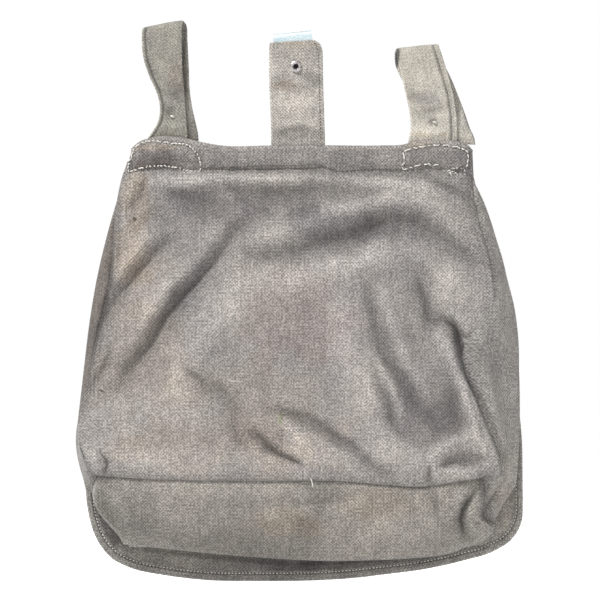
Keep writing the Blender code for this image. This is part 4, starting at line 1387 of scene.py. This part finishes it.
def make_bore(centre):
    """A dark shallow cup with a rounded rim at the far end of the hollow rivet's bore: painted shade for the
    dark hollow.
    """
    profile = [(0.05, 0.0), (1.2, 0.1), (1.62, -0.3), (1.75, -0.9), (1.75, 0.7), (0.9, 0.9), (0.05, 0.9)]
    steps = 24
    points = []
    for radius, depth in profile:
        for turn in np.linspace(0, 2 * math.pi, steps, endpoint=False):
            points.append(centre + (radius * math.cos(turn), depth, radius * math.sin(turn)))
    faces = grid_faces(len(profile), steps, closed=True)
    last = (len(profile) - 1) * steps
    faces.append(tuple(reversed(range(steps))))
    faces.append(tuple(range(last, last + steps)))
    dress(new_object("hook_rivet_bore", points, faces), bore_shade_look, "hook_tab")


def drill(obj, centre, radius):
    """Cuts a round hole through obj, along Y. The centre and the radius are in mm."""
    bpy.ops.mesh.primitive_cylinder_add(
        vertices=32, radius=radius * MM, depth=0.02, location=centre * MM, rotation=(math.pi / 2, 0, 0)
    )
    cutter = bpy.context.object
    cut = obj.modifiers.new("hole", "BOOLEAN")
    cut.operation = "DIFFERENCE"
    cut.object = cutter
    apply_modifiers(obj)
    bpy.data.objects.remove(cutter)


def make_closure(side_name):
    """A short tab that narrows to its end.

    Each row gives its share of the way down, its share of the way out, and where its two sides are.
    """
    low, high = box_mm("closure_tab_" + side_name)
    left, right, middle = low[0], high[0], (low[0] + high[0]) / 2
    top_y, foot_y = low[1] + 0.7, high[1] - 0.7
    rows = [
        (0.0, 0.0, left, right),
        (0.33, 0.33, left - 0.3, right + 0.3),
        (0.8, 0.8, left, right),
        (0.95, 1.0, left + 3, right - 3),
        (1.0, 1.0, middle - 5, middle + 5),
    ]
    stations = []
    for fall, lean, x_left, x_right in rows:
        y, z = mix(top_y, foot_y, lean), mix(high[2], low[2], fall) + 0.4 * (fall == 0)
        stations.append((x_left, y, z, x_right, y, z))
    tab = Strip(stations, 1.4, 50, columns=12, wave=0.1, seed=91)
    name = "closure_tab_" + side_name
    dress(tab.build(name + "_cloth"), closure_look, name, [name])


# ---- seams and threads on the back ----
def back_row(name, points, height, look, **settings):
    """A row of stitches along a drawn line laid on the cloth: height gives y from (x, down)."""
    steps = 260
    x, down = along(points)(np.linspace(0, 1, steps)).T
    path = world(x, height(x, down) - CANVAS / 2, down)
    row = stitches(name, path, [(0, -1, 0)] * steps, **settings)
    dress(row, look, "bag_back")


def mend_y(x, down):
    """The darning lies on the band and on the wall just below it."""
    return np.where(down < band_foot(x), band_y(x, down), back_y(x, down))


def tie_y(x, down):
    """The seam's loose tie spans the gap between the back wall and the bottom strip."""
    return np.full(np.shape(x), BACK_Y - 3.6)


def corner_y(x, down):
    """The corner's stitches lie on the bottom strip's end, most of the way to the front."""
    return np.full(np.shape(x), strip_slope(0.72) - 5.2 + CANVAS / 2)


# Short drawn lines of thread, in (x, down).
CORNER_STITCHES = [(133.4, 272.4), (136.4, 274.0), (140.4, 276.6)]
SEAM_TIE = [(7.4, 241.5), (8.6, 244.8), (9.2, 247.6), (9.0, 250.2)]
FLECK = [(-52, 171.0), (-49, 172.6), (-46, 171.8), (-44, 172.6)]
SPECK = [(-60.5, 139), (-60, 139.3), (-59.4, 139.2)]


def make_back_threads():
    """The band's seams, the strap boxes, the darning, and the few loose threads."""
    foot = [(x, float(band_foot(x)) - 1.8) for x in np.linspace(-70, 74, 40)]
    back_row("band_stitches", foot, band_y, dark_thread, pitch=2.6, length=2.0, radius=0.26, seed=101)
    bold = {"radius": 0.52, "seed": 102, "jitter": 0.3, "sink": -0.06}
    back_row("left_box_stitches", BOX_LEFT, band_y, white_thread, pitch=2.7, length=1.9, **bold)
    back_row("right_box_stitches_top", BOX_RIGHT, band_y, white_thread, pitch=3.5, length=2.5, **bold)
    back_row("right_box_stitches_foot", BOX_RIGHT_FOOT, band_y, white_thread, pitch=3.5, length=2.5, **bold)
    darning = {"pitch": 3.1, "length": 2.3, "radius": 0.34, "jitter": 0.3}
    for shade, look, count in (("dark", dark_thread, 13), ("white", white_thread, 7)):
        rng = np.random.default_rng(103)
        ends = np.stack([rng.uniform(105, 121, count), rng.uniform(17.5, 25, count)], 1)
        back_row("mend_stitches_" + shade, ends, mend_y, look, seed=count, **darning)
    back_row("corner_stitches", CORNER_STITCHES, corner_y, white_thread,
             pitch=2.1, length=1.5, radius=0.36, seed=8)
    back_row("seam_tie", SEAM_TIE, tie_y, white_thread,
             pitch=ONE_STITCH, length=8.2, radius=0.45, seed=5, sink=-0.1)
    back_row("thread_fleck", FLECK, back_y, white_thread, pitch=ONE_STITCH, length=6.5, radius=0.2, seed=6)
    back_row("thread_speck", SPECK, back_y, white_thread, pitch=ONE_STITCH, length=0.8, radius=0.6, seed=7)


# ---- hardware ----
def make_hardware():
    """The CAD's own hook, rivet and buttons, with their looks and softly worn edges."""
    looks = {"belt_hook": hook_look, "hook_rivet": rivet_look}
    for side_name in ("left", "right"):
        looks["belt_loop_button_" + side_name] = button_look
        looks["closure_button_" + side_name] = button_look
    for node, look in looks.items():
        obj = frame["nodes"][node]
        obj.data.materials.clear()
        obj.data.materials.append(look)
        soft = obj.modifiers.new("worn_edges", "BEVEL")
        soft.width = 0.00025
        soft.segments = 3
        soft.limit_method = "ANGLE"
        soft.angle_limit = math.radians(35)


# ---- stage, light and camera ----
PICTURE_MM = 432.0        # what the picture spans, across and down
PICTURE_MIDDLE = 113.76   # how far down the bag the picture's middle is
LENS_DISTANCE = 5.0


def make_floor():
    """A plain pale floor. The camera sees it brighter than it lights the bag."""
    floor_mesh = bpy.data.meshes.new("floor")
    half, z = 4.0, cad_low.z - 0.002
    corners = [(-half, -half, z), (half, -half, z), (half, half, z), (-half, half, z)]
    floor_mesh.from_pydata(corners, [], [(0, 1, 2, 3)])
    floor = bpy.data.objects.new("floor", floor_mesh)
    bpy.context.scene.collection.objects.link(floor)
    graph = Graph(bpy.data.materials.new("pale_floor"))
    floor_mesh.materials.append(graph.finish((0.9, 0.9, 0.9), 0.9))
    graph.shader.inputs["Emission Color"].default_value = (1, 1, 1, 1)
    seen = graph.add("ShaderNodeLightPath", {}).outputs["Is Camera Ray"]
    graph.put(graph.ramp(seen, 0.0, 1.0, 0.25, 0.86), graph.shader.inputs["Emission Strength"])


def make_surround():
    """A soft studio light all round that the camera sees as white."""
    graph = Graph(bpy.data.worlds.new("studio"), "Background")
    graph.put((1, 1, 1), graph.shader.inputs[0])
    graph.put(0.22, graph.shader.inputs[1])
    seen = graph.add("ShaderNodeBackground", {0: (1, 1, 1), 1: 1.0})
    ray = graph.add("ShaderNodeLightPath", {}).outputs["Is Camera Ray"]
    choice = graph.add("ShaderNodeMixShader", {0: ray, 1: graph.shader.outputs[0], 2: seen.outputs[0]})
    graph.put(choice.outputs[0], graph.tree.nodes["World Output"].inputs[0])
    bpy.context.scene.world = graph.owner
    bpy.context.scene.view_settings.view_transform = "Standard"


LIT_POINT = (0, 0, -0.1)
LIGHTS = (("key", (-0.75, -0.75, 1.35), 0.5, 31), ("fill", (0.6, -2.0, 0.1), 1.6, 6.5),
          ("behind", (0.6, 1.8, 1.0), 1.4, 18))


def area_light(name, location, size, watts):
    light = bpy.data.lights.new(name, "AREA")
    light.shape = "DISK"
    light.size = size
    light.energy = watts
    obj = bpy.data.objects.new(name, light)
    obj.location = location
    obj.rotation_euler = (Vector(LIT_POINT) - Vector(location)).to_track_quat("-Z", "Y").to_euler()
    bpy.context.scene.collection.objects.link(obj)


def make_camera():
    """A camera on the wearer's side, looking straight at the back wall."""
    lens = bpy.data.cameras.new("camera")
    lens.sensor_width = 36
    lens.lens = 36 * LENS_DISTANCE / (PICTURE_MM * MM)
    camera = bpy.data.objects.new("camera", lens)
    camera.location = (0, -LENS_DISTANCE, (TOP - PICTURE_MIDDLE) * MM)
    camera.rotation_euler = (math.pi / 2, 0, 0)
    bpy.context.scene.collection.objects.link(camera)
    bpy.context.scene.camera = camera


make_back()
make_band()
make_bottom_strip()
make_gusset("left", -1, left_seam, left_crease, strip_left)
make_gusset("right", 1, right_seam, right_crease, strip_right)
make_front()
make_flap()
make_binding()
make_loop("left", LEFT_REAR, LEFT_FRONT, left_strap_look, 2.6, LEFT_DENTS, dark_thread)
make_loop("right", RIGHT_REAR, RIGHT_FRONT, right_strap_look, -4.2, RIGHT_DENTS, grey_thread)
make_tab()
make_closure("left")
make_closure("right")
make_back_threads()
make_hardware()
make_floor()
make_surround()
for light in LIGHTS:
    area_light(*light)
make_camera()
